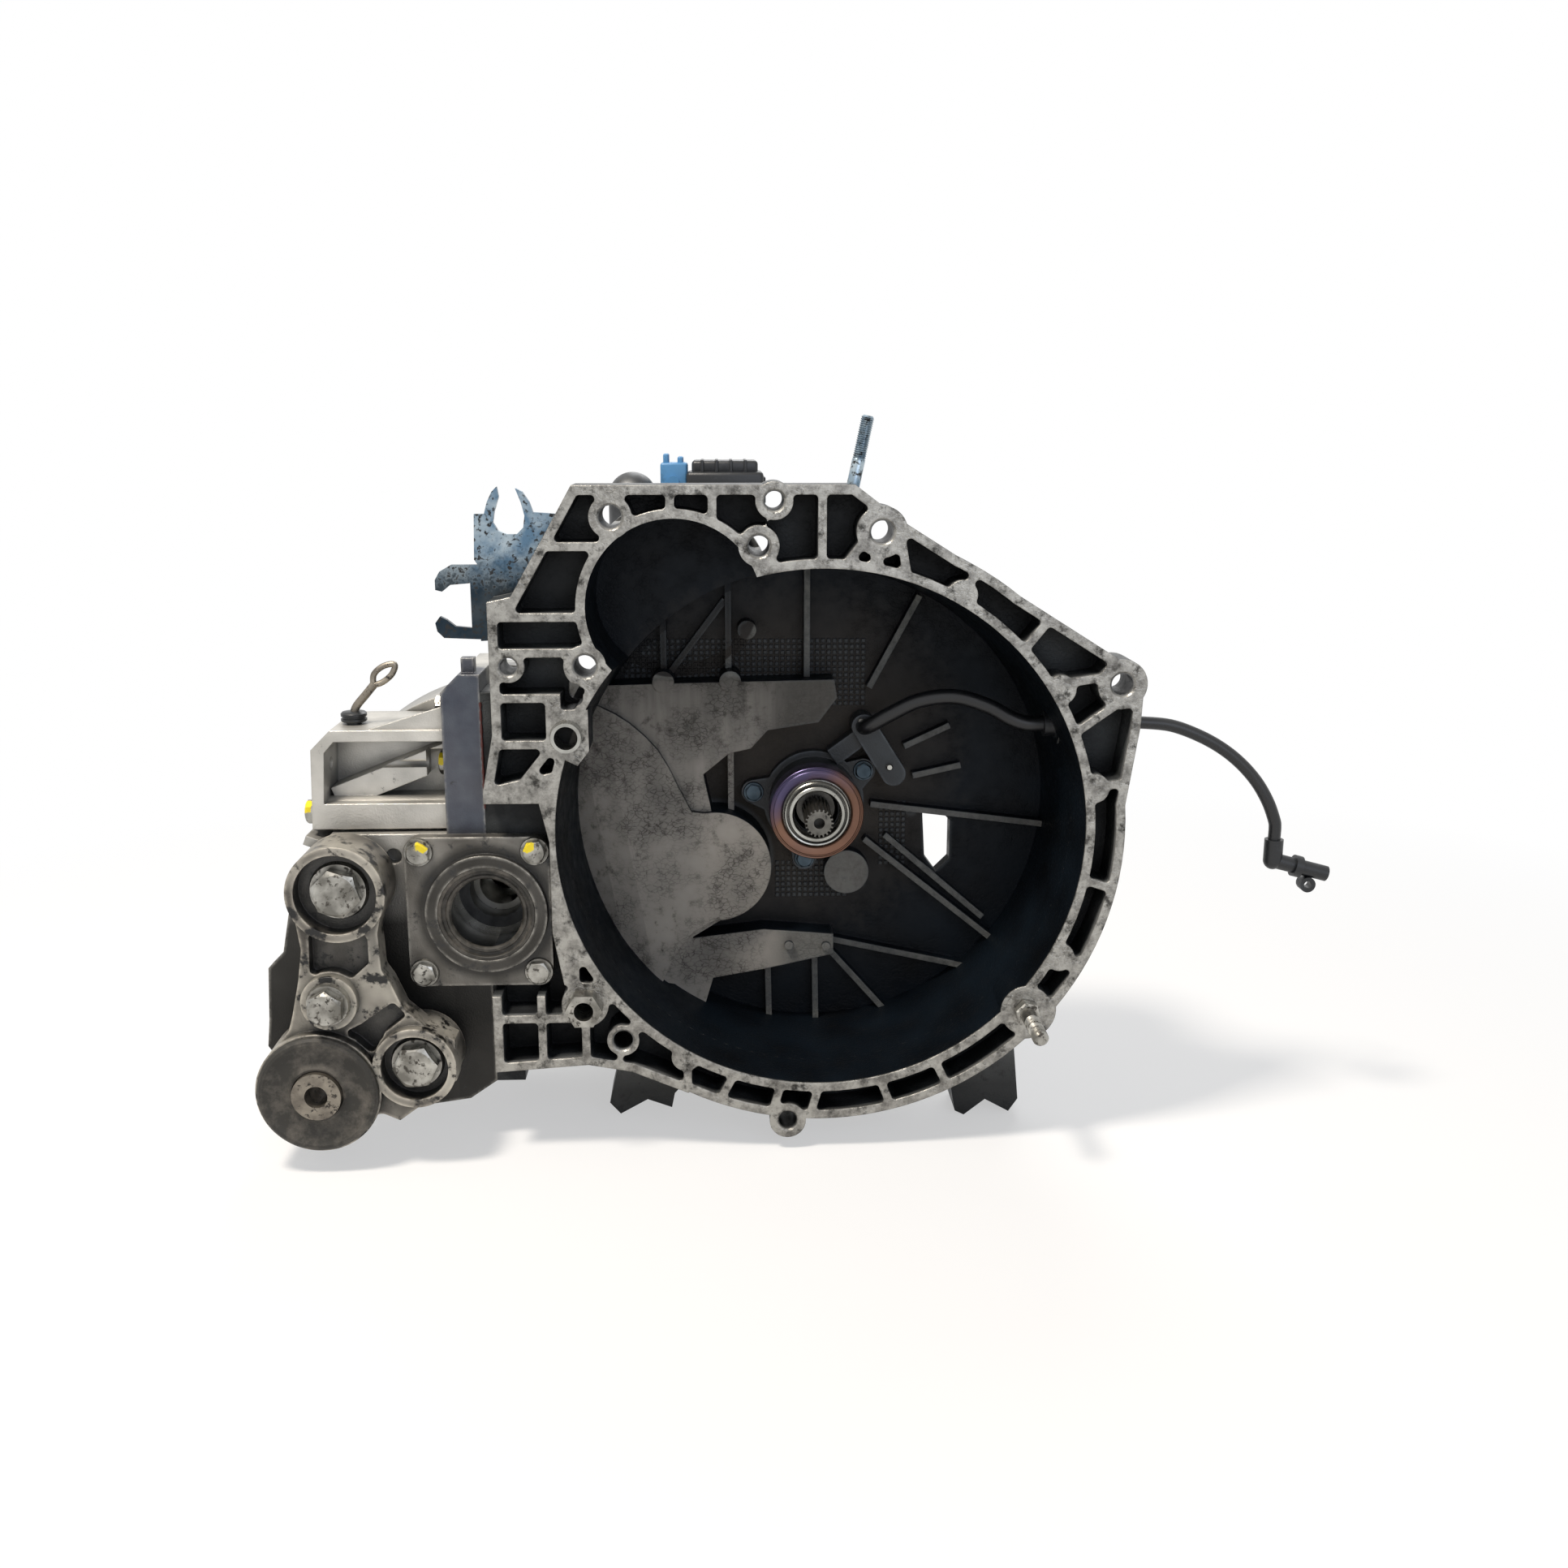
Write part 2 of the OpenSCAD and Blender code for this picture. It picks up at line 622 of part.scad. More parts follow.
module bell_floor_forms() {
    lobe_r = output_brg_r + wall - 2;
    top_y = plateau_y - bulge_h;
    difference() {
        union() {
            along_y(plateau_y, floor_y - plateau_y + sink) polygon(plateau);
            along_y(top_y, floor_y - top_y + sink) {
                polygon(bulge);
                translate(output_axis) circle(lobe_r);
            }
        }
        translate([ridge_at[0], top_y, ridge_at[1]]) rotate([0, ridge_turn, 0]) translate([0, 0, -260])
            linear_extrude(360) polygon(slope);
    }
    along_y(platform_y, floor_y - platform_y + sink) polygon(platform);
    for (r = floor_ribs)
        along_y(floor_y - r[4], r[4] + sink) bar([r[0], r[1]], [r[2], r[3]], floor_rib);
    for (p = floor_pads) rod([p[0], p[1]], floor_y - p[3], p[3] + sink, p[2]);
    for (p = [[-17, -97], [8, -98]]) rod(p, platform_y - 3, 3 + sink, 3);
    rod([0, 0], floor_y, input_brg_y + bearing_w - floor_y, input_brg_r + wall);
}

// The whole bell casting, which is kept as three pieces: its rim, its wall and its floor.
module bell_casting() {
    difference() {
        union() {
            bell_shell();
            intersection() {
                bell_floor_forms();
                rod([0, 0], -cut, bell_depth + 40, floor_r + wall);
            }
            for (b = face_bosses) rod([b[0], b[1]], 0, rim_depth, b[2]);
            along_y(0, rim_depth) dowel_pad();
            rod(stud_at, 0, rim_depth, 16);
            rod(fitting_at, 0, rim_depth, fitting_r + 3);
            translate([mouth_r - 12, gland_y, gland_z]) rotate([0, 90, 0])
                cylinder(h = gland_seat_x - mouth_r + 12, r = gland_r + 5);
        }
        rod(stud_at, -cut, stud_in + cut, stud_r);
        top_stud_place() cylinder(h = 20, r = top_stud_r);
        rod(dowel_at, -cut, dowel_in + 2 + cut, dowel_seat_r);
        rod(fitting_at, -cut, 16 + cut, fitting_bore_r + 2);
        along_y(floor_y - cut, bell_depth) polygon(window);
        translate([gland_in_x, gland_y, gland_z]) rotate([0, 90, 0]) cylinder(h = 60, r = gland_r);
        // Input shaft and its bearing.
        rod([0, 0], floor_y - 30, 60, guide_r);
        rod([0, 0], input_brg_y, bearing_w + cut, input_brg_r);
        // Output shaft's bearing, the pinion and the final drive.
        rod(output_axis, output_brg_y, bell_depth, output_brg_r);
        rod(output_axis, output_brg_y + bearing_w, bell_depth, final_m * (pinion_teeth / 2 + 1) + 6);
        diff_room_cut();
        // Threads of the bolts that come in from outside.
        for (p = casing_spots) rod(p, bell_depth - 11, 12, bolt_r);
        for (s = concat(side_spots, [long_spot])) translate([joint_x - cut, s[0], s[1]]) rotate([0, 90, 0])
            cylinder(h = side_flange_t - 2, r = bolt_r);
        rod(rail_axis, bell_depth - 10, 10 + cut, rail_r);
        for (p = plate_spots) rod(p, seat_y - cut, 14 + cut, bolt_r);
        for (e = slave_ears) rod(e, floor_y - cut, 9, slave_bolt_r);
    }
}

// The space in front of the back of the rim.
module rim_space() {
    along_y(-60, 60 + rim_depth) square(1000, center = true);
}

// The space that the floor takes up, inside the walls of the bell and of the starter's pocket.
module floor_space() {
    along_y(rim_depth + 10, bell_depth) {
        circle(floor_r - cut);
        translate(starter_axis) circle(starter_r - cut);
    }
}

// Holes through the rim for the engine's bolts, and the slot beside them.
module rim_holes() {
    for (b = face_bosses) {
        rod([b[0], b[1]], -cut, rim_depth + 2 * cut, b[3]);
        cone_rod([b[0], b[1]], -cut, hole_lip + 2 * cut, b[3] + hole_lip + cut, b[3] - cut);
    }
    along_y(-cut, rim_depth + 2 * cut) translate([-148, 88]) {
        translate([0, 1.5]) circle(5.5);
        translate([0, -1.5]) circle(5.5);
        square([11, 3], center = true);
    }
}

// Grooves in the wall behind the rim, which let the bolts pass.
module bolt_grooves() {
    for (b = face_bosses) {
        out = 1 + 1 / norm([b[0], b[1]]);
        rod([b[0] * out, b[1] * out], rim_depth - cut, groove_len + cut, b[3] + 1);
    }
}

module bell_rim() {
    color("#8d9093") difference() {
        intersection() {
            bell_casting();
            rim_space();
        }
        rim_holes();
    }
}

module bell_housing() {
    color("#8d9093") difference() {
        bell_casting();
        rim_space();
        floor_space();
        bolt_grooves();
    }
}

module bell_floor() {
    color("#8d9093") intersection() {
        bell_casting();
        floor_space();
    }
}

module gear_casing() {
    inner = casing_end - end_wall;
    color("#8a8d90") difference() {
        union() {
            along_y(bell_depth, lip_t) casing_outline(lip_w);
            along_y(bell_depth, casing_len) shaft_outline(0);
            along_y(bell_depth, side_end - bell_depth) casing_outline(0);
            along_y(casing_end - lip_t, lip_t) shaft_outline(lip_w);
            diff_shell(bell_depth, diff_end + 12) right_half();
            translate([rail_axis[0], turret_y, rail_axis[1]])
                cylinder(h = turret_base - rail_axis[1], r = turret_flange_r);
            for (i = [1:3]) along_y(bell_depth + i * casing_len / 4, 5) shaft_outline(4);
            for (t = [-40, -75, -110]) along_y(bell_depth + lip_t - sink, casing_len - 2 * lip_t + 2 * sink)
                translate(output_axis) rotate(t) translate([output_case_r - sink, -3]) square([6, 6]);
        }
        along_y(bell_depth - cut, inner - bell_depth + cut) shaft_outline(-wall);
        rod(output_axis, bell_depth - cut, 40, final_m * (pinion_teeth / 2 + 1) + 6);
        diff_room_cut();
        // Bearing seats in the end wall.
        rod([0, 0], rear_brg_y, bearing_w + cut, input_brg_r);
        rod([0, 0], inner - cut, end_wall, input_brg_r - 4);
        rod(output_axis, rear_brg_y, bearing_w + cut, output_brg_r);
        rod(output_axis, inner - cut, end_wall, output_brg_r - 4);
        rod(rail_axis, inner - cut, end_wall + 2 * cut, rail_r);
        translate([rail_axis[0], turret_y, rail_axis[1]]) cylinder(h = 100, r = turret_bore_r);
        for (t = turret_turns) translate([rail_axis[0], turret_y, turret_base]) rotate(t)
            translate([turret_bolt_at, 0, -12]) cylinder(h = 12 + cut, r = bolt_r);
        for (p = casing_spots) rod(p, bell_depth - cut, lip_t + 2 * cut, bolt_r + bolt_gap);
        for (p = casing_spots) rod(p, bell_depth + lip_t, 14, 2.6 * bolt_r);
        for (p = cover_spots) rod(p, casing_end - lip_t - cut, lip_t + 2 * cut, bolt_r);
    }
}

module end_cover() {
    color("#909396") difference() {
        union() {
            along_y(casing_end, lip_t) shaft_outline(lip_w);
            along_y(casing_end, cover_len) shaft_outline(0);
            along_y(casing_end + cover_len - sink, 5 + sink) {
                translate(output_axis) circle(output_brg_r + wall);
                circle(input_brg_r + wall);
                for (t = [-70, -25, 20, 65, 110, 155]) rotate(t) translate([0, -3])
                    square([input_case_r - 8, 6]);
                for (t = [150, 190, 230, 270, 310]) translate(output_axis) rotate(t) translate([0, -3])
                    square([output_case_r - 8, 6]);
            }
        }
        along_y(casing_end - cut, cover_len - wall + 2 + cut) shaft_outline(-wall + 2);
        for (p = cover_spots) {
            rod(p, casing_end - cut, lip_t + 2 * cut, bolt_r + bolt_gap);
            rod(p, casing_end + lip_t, cover_len, 2.6 * bolt_r);
        }
    }
}

// The side housing over the final drive's left half.
module side_housing() {
    color("#85888b") difference() {
        union() {
            diff_shell(seat_y, diff_end + 12) left_half();
            along_y(seat_y, bell_depth - seat_y) polygon([
                [joint_x, side_low], [joint_x, side_high], [joint_x - side_face_t + 11, side_high],
                [joint_x - side_face_t, side_high - 11], [joint_x - side_face_t, side_low]
            ]);
            along_y(seat_y + 8, 8) translate([joint_x - 12, side_high - sink]) square([8, 9 + sink]);
            along_y(seat_y, 12) polygon(side_seat);
            side_box();
            for (b = bracket_spots)
                rod([b[0], b[1]], bracket_seat, ring_y - diff_room - bracket_seat, b[2] - 6);
            for (t = [158, 205, 232]) along_y(seat_y, ring_y - seat_y - diff_room)
                translate(diff_axis) rotate(t) translate([diff_brg_r + wall, -3]) square([76, 6]);
            translate([long_x, long_spot[0], long_spot[1]]) rotate([0, 90, 0])
                cylinder(h = joint_x - long_x, r = 10);
        }
        diff_room_cut();
        for (s = concat(side_spots, [long_spot])) translate([long_x - cut, s[0], s[1]]) rotate([0, 90, 0])
            cylinder(h = joint_x - long_x + 2 * cut, r = bolt_r + bolt_gap);
        for (s = side_spots) translate([joint_x - side_face_t - 14, s[0], s[1]]) rotate([0, 90, 0])
            cylinder(h = 14, r = 2.6 * bolt_r);
        for (b = bracket_spots) rod([b[0], b[1]], bracket_seat - cut, 30 + cut, bracket_bolt_r);
        for (p = plate_spots) rod(p, seat_y - cut, 14 + cut, bolt_r);
        rod([-264, -16], seat_y - cut, 8 + cut, 5);
        rod(eye_at, seat_y - cut, 14 + cut, bush_sleeve_r + 5);
        translate([breather_at[0], breather_at[1], side_box_top - 10]) cylinder(h = 11, r = breather_r);
    }
}

// The open box cast above the differential, with its slanted lug.
module side_box() {
    difference() {
        along_y(seat_y + 6, 66) polygon([
            [joint_x, side_box_top], [-300, side_box_top], [-312, side_box_top - 12], [-314, 0], [joint_x, 0]
        ]);
        along_y(seat_y + 6 - cut, 36 + cut) polygon([
            [joint_x - side_face_t, 55], [-298, 55], [-304, 48], [-306, 16], [joint_x - side_face_t, 16]
        ]);
    }
    along_y(seat_y + 20, 30) bar([-302, 16], [joint_x - side_face_t, 44], 15);
    along_y(seat_y + 8, 5) translate([0, side_box_top]) polygon([[-284, -2], [-232, 14], [-230, -2]]);
}

// A washer-faced hexagon bolt along +x whose head sits left of x0.
module bolt_x(x0, y, z, len, r) {
    translate([x0, y, z]) rotate([0, 90, 0]) {
        translate([0, 0, -1.6 * r]) cylinder(h = 1.6 * r, r = 1.9 * r, $fn = 6);
        translate([0, 0, -2]) cylinder(h = 2, r = 2.3 * r);
        translate([0, 0, -1]) cylinder(h = len + 1, r = r);
    }
}

// A bolt along -y whose head sits behind y0.
module bolt_back(p, y0, len, r) {
    translate([0, 2 * y0, 0]) mirror([0, 1, 0]) bolt_y(p, y0, len, r);
}

module casing_bolts() {
    color("#6f7072") for (p = casing_spots) bolt_back(p, bell_depth + lip_t, lip_t + 10, bolt_r);
}

module cover_bolts() {
    color("#6f7072") for (p = cover_spots) bolt_back(p, casing_end + lip_t, 2 * lip_t - 1, bolt_r);
}

module side_bolts() {
    color("#77746a") {
        for (s = side_spots) 
            bolt_x(joint_x - side_face_t, s[0], s[1], side_face_t + side_flange_t - 4, bolt_r);
        bolt_x(long_x, long_spot[0], long_spot[1], joint_x - long_x + side_flange_t - 4, bolt_r);
    }
}

// The plate that holds the differential's bearing and the oil seal.
module output_plate() {
    color("#9a9c9e") difference() {
        union() {
            along_y(plate_y, plate_t) offset(r = plate_round, $fn = 32) translate(plate_mid)
                square([2 * plate_bolt_x, 2 * plate_bolt_z], center = true);
            rod(diff_axis, plate_y - 5, 5 + sink, plate_ring_r);
        }
        rod(diff_axis, plate_y - 5 - cut, 12 + cut, seal_r);
        rod(diff_axis, plate_y, plate_t + cut, neck_room_r - 3);
        for (p = plate_spots) rod(p, plate_y - cut, plate_t + 2 * cut, bolt_r + bolt_gap);
    }
}

module output_plate_bolts() {
    color("#7d786a") for (p = plate_spots) bolt_y(p, plate_y, plate_t + 10, bolt_r);
}

// The lipped oil seal in the plate and its twin at the rear.
module output_seal() {
    color("#2b2c2e") {
        tube(diff_axis, plate_y - 5, 12, seal_r, neck_r - 3);
        tube(diff_axis, diff_end + 2, 12, neck_room_r, neck_r - 3);
    }
}

// Outline of the torque bracket round its bosses and its eye.
module bracket_outline() {
    offset(r = -6, $fn = 32) offset(r = 6, $fn = 32) {
        polygon(bracket_body);
        for (b = bracket_spots) translate([b[0], b[1]]) circle(b[2] - cut);
        translate(eye_at) circle(eye_r - cut);
    }
}

// The hollows between the bracket's ribs.
module bracket_hollows() {
    offset(r = 3, $fn = 20) offset(delta = -3) difference() {
        union() for (h = bracket_pockets) polygon(h);
        for (b = bracket_spots) translate([b[0], b[1]]) circle(b[2] + cut);
        translate(eye_at) circle(eye_r + cut);
    }
}

// The bracket that takes the engine's torque to a rubber bush.
module torque_bracket() {
    web_y = bracket_y + bracket_step;
    web_end = plate_y - 9;
    color("#4b4d50") difference() {
        union() {
            for (b = bracket_spots) rod([b[0], b[1]], bracket_y, bracket_t, b[2]);
            rod(eye_at, bracket_y, bracket_t, eye_r);
            along_y(web_y, web_end - web_y) bracket_outline();
        }
        along_y(web_y - cut, bracket_hollow + cut) bracket_hollows();
        for (b = bracket_spots) {
            rod([b[0], b[1]], bracket_y - cut, bracket_t + 2 * cut, bracket_bolt_r + bolt_gap);
            if (b[3] > 0) rod([b[0], b[1]], bracket_y - cut, b[3] + cut, b[2] - bracket_lip);
        }
        rod(eye_at, bracket_y - cut, bracket_t + 2 * cut, eye_r - eye_wall);
    }
}

module bracket_bolts() {
    color("#8a8578") for (b = bracket_spots)
        translate([b[0], bracket_y + b[3], b[1]]) rotate([-90, 0, 0]) {
            translate([0, 0, -12]) cylinder(h = 12, r = b[4], $fn = 6);
            translate([0, 0, -3]) cylinder(h = 3, r = b[4] + 2.5);
            translate([0, 0, -1]) cylinder(h = bracket_t - b[3] + 29, r = bracket_bolt_r);
        }
}

// The bush's rubber, with a flange that covers the eye's front.
module bush_rubber() {
    color("#1d1d1f") difference() {
        union() {
            rod(eye_at, bracket_y - cut, bracket_t, eye_r - eye_wall);
            cone_rod(eye_at, bracket_y - bush_lip, bush_lip, eye_r - 5, eye_r - 1);
        }
        rod(eye_at, bracket_y - 2 * bush_lip, bracket_t + 4 * bush_lip, bush_sleeve_r);
    }
}

module bush_sleeve() {
    out = bush_lip + 2;
    color("#9c968a") tube(eye_at, bracket_y - out, bracket_t + out + 2, bush_sleeve_r, bush_hole_r);
}

// The release cylinder round the input shaft.
module slave_cylinder() {
    base_y = slave_base_y;
    color("#3a3c3f") difference() {
        union() {
            rod([0, 0], base_y, 8, release_r + 3);
            for (e = slave_ears) along_y(base_y, 8) belt([0, 0], 20, e, slave_ear_r);
            rod([0, 0], slave_mouth_y, base_y - slave_mouth_y + sink, release_r - 1);
            rod([0, 0], release_y + 13, base_y - release_y - 6, guide_r);
            along_y(base_y - 12, 18) belt(slave_port, 8, [52, 20], 8);
            along_y(base_y - 6, 12) bar([12, 30], [38, 49], 12);
        }
        rod([0, 0], 0, bell_depth, guide_r - 3);
        difference() {
            rod([0, 0], release_y, base_y - release_y, piston_r + slide_gap);
            rod([0, 0], release_y - cut, bell_depth, guide_r);
        }
        for (e = slave_ears) rod(e, base_y - cut, 8 + 2 * cut, slave_bolt_r + bolt_gap);
        rod(slave_port, base_y - 12 - cut, 12 + cut, pipe_r);
    }
}

module slave_bolts() {
    color("#75777a") for (e = slave_ears) bolt_y(e, slave_base_y, 15, slave_bolt_r);
}

// The bearing's outer ring and the piston that pushes it.
module release_bearing() {
    inner = guide_r + slide_gap;
    color("#9a6a4a") rotate([-90, 0, 0]) rotate_extrude() polygon([
        [inner, release_y + 12], [guide_r + 5, release_y + 12], [guide_r + 5, release_y + 6],
        [release_r - 7, release_y + 3], [release_r - 2, release_y + 3], [release_r, release_y + 5],
        [release_r, release_y + 20], [piston_r, release_y + 20], [piston_r, piston_end],
        [inner, piston_end]
    ]);
}

// The ring of the bearing that meets the clutch's fingers.
module release_face() {
    color("#b9b9b6") tube([0, 0], release_y, 12, guide_r + 4.7, guide_r - 2.5);
}

// A round tube swept along a route, with n sides.
function unit(v) = v / norm(v);
module sweep(route, r, n, side) {
    last = len(route) - 1;
    function along(i) = unit(route[min(i + 1, last)] - route[max(i - 1, 0)]);
    rings = [for (i = [0:last]) let (t = along(i), u = unit(cross(t, side)), v = cross(u, t))
        for (k = [0:n - 1]) route[i] + r * (cos(k * 360 / n) * u + sin(k * 360 / n) * v)];
    sides = [for (i = [0:last - 1]) for (k = [0:n - 1]) let (a = i * n + k, b = i * n + (k + 1) % n)
        each [[a, b, a + n], [b, b + n, a + n]]];
    caps = [[for (k = [n - 1:-1:0]) k], [for (k = [0:n - 1]) last * n + k]];
    polyhedron(rings, concat(sides, caps));
}

// The pipe from the release cylinder to the gland in the bell's wall.
module slave_pipe() {
    color("#2a2b2d") sweep(pipe_route, pipe_r, 12, [-0.5, 0, 1]);
}

module hose_gland() {
    color("#2c2d30") translate([0, gland_y, gland_z]) rotate([0, 90, 0]) {
        translate([0, 0, gland_in_x]) cylinder(h = hose_start_x - gland_in_x - 8, r = gland_r);
        translate([0, 0, gland_seat_x]) cylinder(h = 8, r = gland_r + 4, $fn = 6);
        translate([0, 0, gland_seat_x]) cylinder(h = hose_start_x - gland_seat_x, r = hose_r + 2);
    }
}

module clutch_hose() {
    color("#1c1d1f") sweep(hose_route, hose_r, 10, [0, 1, 0]);
}

// The quick connector at the hose's end.
module hose_elbow() {
    color("#232426") translate(hose_end) {
        translate([0, 0, -14]) cylinder(h = 14, r = hose_r + 2);
        translate([0, 0, -14]) sphere(hose_r + 2);
        translate([0, 0, -14]) rotate([0, 105, 0]) {
            cylinder(h = 37, r = hose_r + 1);
            translate([0, 0, 14]) cylinder(h = 5, r = hose_r + 3);
        }
        translate([23, 4, -30]) rotate([90, 0, 0]) difference() {
            cylinder(h = 8, r = 5);
            translate([0, 0, -1]) cylinder(h = 10, r = 2.5);
        }
    }
}

// Shafts and gears.

// Phase of the teeth on the output shaft that mesh with the input shaft's.
function mesh_turn(z) = tooth_turn + 180 + 180 / z;

// The input shaft with its splines and the two small gears cut on it.
module input_shaft() {
    gears_from = input_brg_y + bearing_w + lip_step;
    end_y = gear_y5 + gear_w + 8;
    color("#a5a6a4") difference() {
        union() {
            along_y(tip_y, tip_out + guide_r + sink) spline_profile(spline_r, 20);
            rod([0, 0], release_y + guide_r, input_brg_y - release_y - guide_r, guide_r - 5);
            rod([0, 0], input_brg_y - sink, bearing_w + 2 * sink, shaft_r - 3 - run_gap);
            rod([0, 0], gears_from, rear_brg_y - lip_step - gears_from, shaft_r - 1);
            rod([0, 0], rear_brg_y - lip_step, end_y - rear_brg_y + lip_step, shaft_r - 3 - run_gap);
            for (i = [0, 1]) along_y(gear_ys[i], gear_w) gear_profile(teeth_in[i], gear_m, tooth_turn);
        }
        rod([0, 0], tip_y - cut, 9 + cut, 3.5);
    }
}

// A splined end with n teeth.
module spline_profile(r, n) {
    polygon([for (i = [0:n - 1]) for (q = [[-4, -1.4], [-3, 0], [3, 0], [4, -1.4]])
        let (t = i * 360 / n + q[0]) (r + q[1]) * [cos(t), sin(t)]]);
}

module input_gears() {
    bores = [0, 0, shaft_r - 1, shaft_r - 1, shaft_r - 3 - run_gap];
    color("#a9a9a6") for (i = [2:4])
        gear([0, 0], gear_ys[i], gear_w, teeth_in[i], gear_m, tooth_turn, bores[i]);
}

module input_bearings() {
    color("#b4b5b3") for (y = [input_brg_y, rear_brg_y]) tube([0, 0], y, bearing_w, input_brg_r, shaft_r - 3);
}

// The output shaft with the final drive's pinion cut on it.
module output_shaft() {
    gears_from = output_brg_y + bearing_w + lip_step;
    end_y = gear_y5 + gear_w + sync_w - dog_w;
    color("#a3a3a0") {
        rod(output_axis, output_brg_y + 1, bearing_w + lip_step, shaft_r - 1 - run_gap);
        rod(output_axis, gears_from, rear_brg_y - lip_step - gears_from, shaft_r);
        rod(output_axis, rear_brg_y - lip_step, end_y - rear_brg_y + lip_step, shaft_r - 1 - run_gap);
        translate([output_axis[0], 0, output_axis[1]]) along_y(pinion_y, pinion_w)
            gear_profile(pinion_teeth, final_m, final_turn);
    }
}

module output_bearings() {
    color("#b4b5b3") for (y = [output_brg_y, rear_brg_y])
        tube(output_axis, y, bearing_w, output_brg_r, shaft_r - 1);
}

// A loose gear of the output shaft, with a dog ring on one side (side is 1 or -1).
module speed_gear(i, side, bore) {
    y = gear_ys[i];
    dog_y = side > 0 ? y + gear_w - cut : y - dog_w;
    difference() {
        union() {
            translate([output_axis[0], 0, output_axis[1]]) along_y(y, gear_w)
                gear_profile(teeth_out[i], gear_m, mesh_turn(teeth_out[i]));
            rod(output_axis, dog_y, dog_w + cut, hub_r);
        }
        rod(output_axis, y - 10, gear_w + 20, bore);
    }
}

module gear_1() { color("#adadaa") speed_gear(0, 1, shaft_r + run_gap); }

module gear_2() { color("#adadaa") speed_gear(1, -1, shaft_r + run_gap); }

module gear_3() { color("#adadaa") speed_gear(2, 1, shaft_r + run_gap); }

module gear_4() { color("#adadaa") speed_gear(3, -1, shaft_r + run_gap); }

module gear_5() { color("#adadaa") speed_gear(4, 1, shaft_r - 1); }

// Synchronisers: a hub fast on the shaft and a sleeve that slides on it.
function hub_y(i) = gear_ys[i] + gear_w + dog_w + dog_gap;
groove_w = 5;
groove_d = 3;

module hub(i, bore) {
    tube(output_axis, hub_y(i), hub_w, hub_r, bore);
}

module sleeve(i) {
    mid = hub_y(i) + hub_w / 2;
    difference() {
        tube(output_axis, hub_y(i), hub_w, sleeve_r, hub_r + slide_gap);
        tube(output_axis, mid - groove_w / 2, groove_w, sleeve_r + cut, sleeve_r - groove_d);
    }
}

module hub_12() { color("#8f8f8c") hub(0, shaft_r); }

module hub_34() { color("#8f8f8c") hub(2, shaft_r); }

module hub_5() { color("#8f8f8c") hub(4, shaft_r - 1 - run_gap); }

module sleeve_12() { color("#b8a56a") sleeve(0); }

module sleeve_34() { color("#b8a56a") sleeve(2); }

module sleeve_5() { color("#b8a56a") sleeve(4); }

// A fork that straddles a sleeve and slides on the rail.
module fork(i, boss_w) {
    mid = hub_y(i) + hub_w / 2;
    t = groove_w - 2 * slide_gap;
    reach = sleeve_r - groove_d + slide_gap;
    turn = atan2(rail_axis[1] - output_axis[1], rail_axis[0] - output_axis[0]);
    difference() {
        union() {
            along_y(mid - t / 2, t) difference() {
                belt(output_axis, sleeve_r + 9, rail_axis, rail_r + 5);
                translate(output_axis) circle(reach);
                translate(output_axis) rotate(turn) translate([-200, -100]) square([200, 200]);
            }
            rod(rail_axis, mid - boss_w / 2, boss_w, rail_r + 5);
        }
        rod(rail_axis, mid - boss_w, 2 * boss_w, rail_r + run_gap);
    }
}

module fork_12() { color("#7c7f82") fork(0, 18); }

module fork_34() { color("#7c7f82") fork(2, 18); }

module fork_5() { color("#7c7f82") fork(4, 10); }

module shift_rail() {
    color("#a0a19f") rod(rail_axis, bell_depth - 10, hub_y(4) + hub_w + 5 - bell_depth + 10, rail_r);
}

// Shift gear on the roof.

module selector_shaft() {
    low = rail_axis[1] + rail_r + 6;
    color("#a0a19f") translate([rail_axis[0], turret_y, 0]) {
        translate([0, 0, low]) cylinder(h = selector_top - low, r = selector_r);
        translate([-4, -4, low]) cube([14, 8, 7]);
    }
}

module shift_turret() {
    h = turret_top - turret_base;
    bore = selector_r + run_gap;
    color("#8b8e90") translate([rail_axis[0], turret_y, turret_base]) difference() {
        rotate_extrude() polygon([
            [turret_bore_r, 0], [turret_flange_r, 0], [turret_flange_r, turret_flange_t],
            [turret_r - 4, turret_flange_t], [turret_r - 4, h - 22], [turret_r - 8, h - 16],
            [turret_r - 8, h - 12], [turret_r - 3, h - 12], [turret_r - 3, h - 2], [turret_r - 5, h],
            [bore, h], [bore, 30], [turret_bore_r, 28]
        ]);
        for (t = turret_turns) rotate(t) translate([turret_bolt_at, 0, -cut])
            cylinder(h = turret_flange_t + 2 * cut, r = bolt_r + bolt_gap);
    }
}

module turret_bolts() {
    color("#727476") for (t = turret_turns) translate([rail_axis[0], turret_y, turret_base + turret_flange_t])
        rotate(t) translate([turret_bolt_at, 0, 0]) {
            cylinder(h = 1.4 * bolt_r, r = 1.9 * bolt_r, $fn = 6);
            translate([0, 0, -18]) cylinder(h = 19, r = bolt_r);
        }
}

// The lever on the selector shaft, with its round weight.
module shift_lever() {
    low = turret_top + slide_gap;
    color("#3d3f42") translate([rail_axis[0], turret_y, low]) difference() {
        union() {
            cylinder(h = 16, r = selector_r + 7);
            translate([-50, -7, 2]) cube([50, 14, 10]);
            translate([-50, 0, 0]) cylinder(h = 44, r = 17);
            translate([-50, 0, 44]) intersection() {
                sphere(17);
                translate([-20, -20, -1]) cube([40, 40, 20]);
            }
        }
        translate([0, 0, -cut]) cylinder(h = 40, r = selector_r);
    }
}

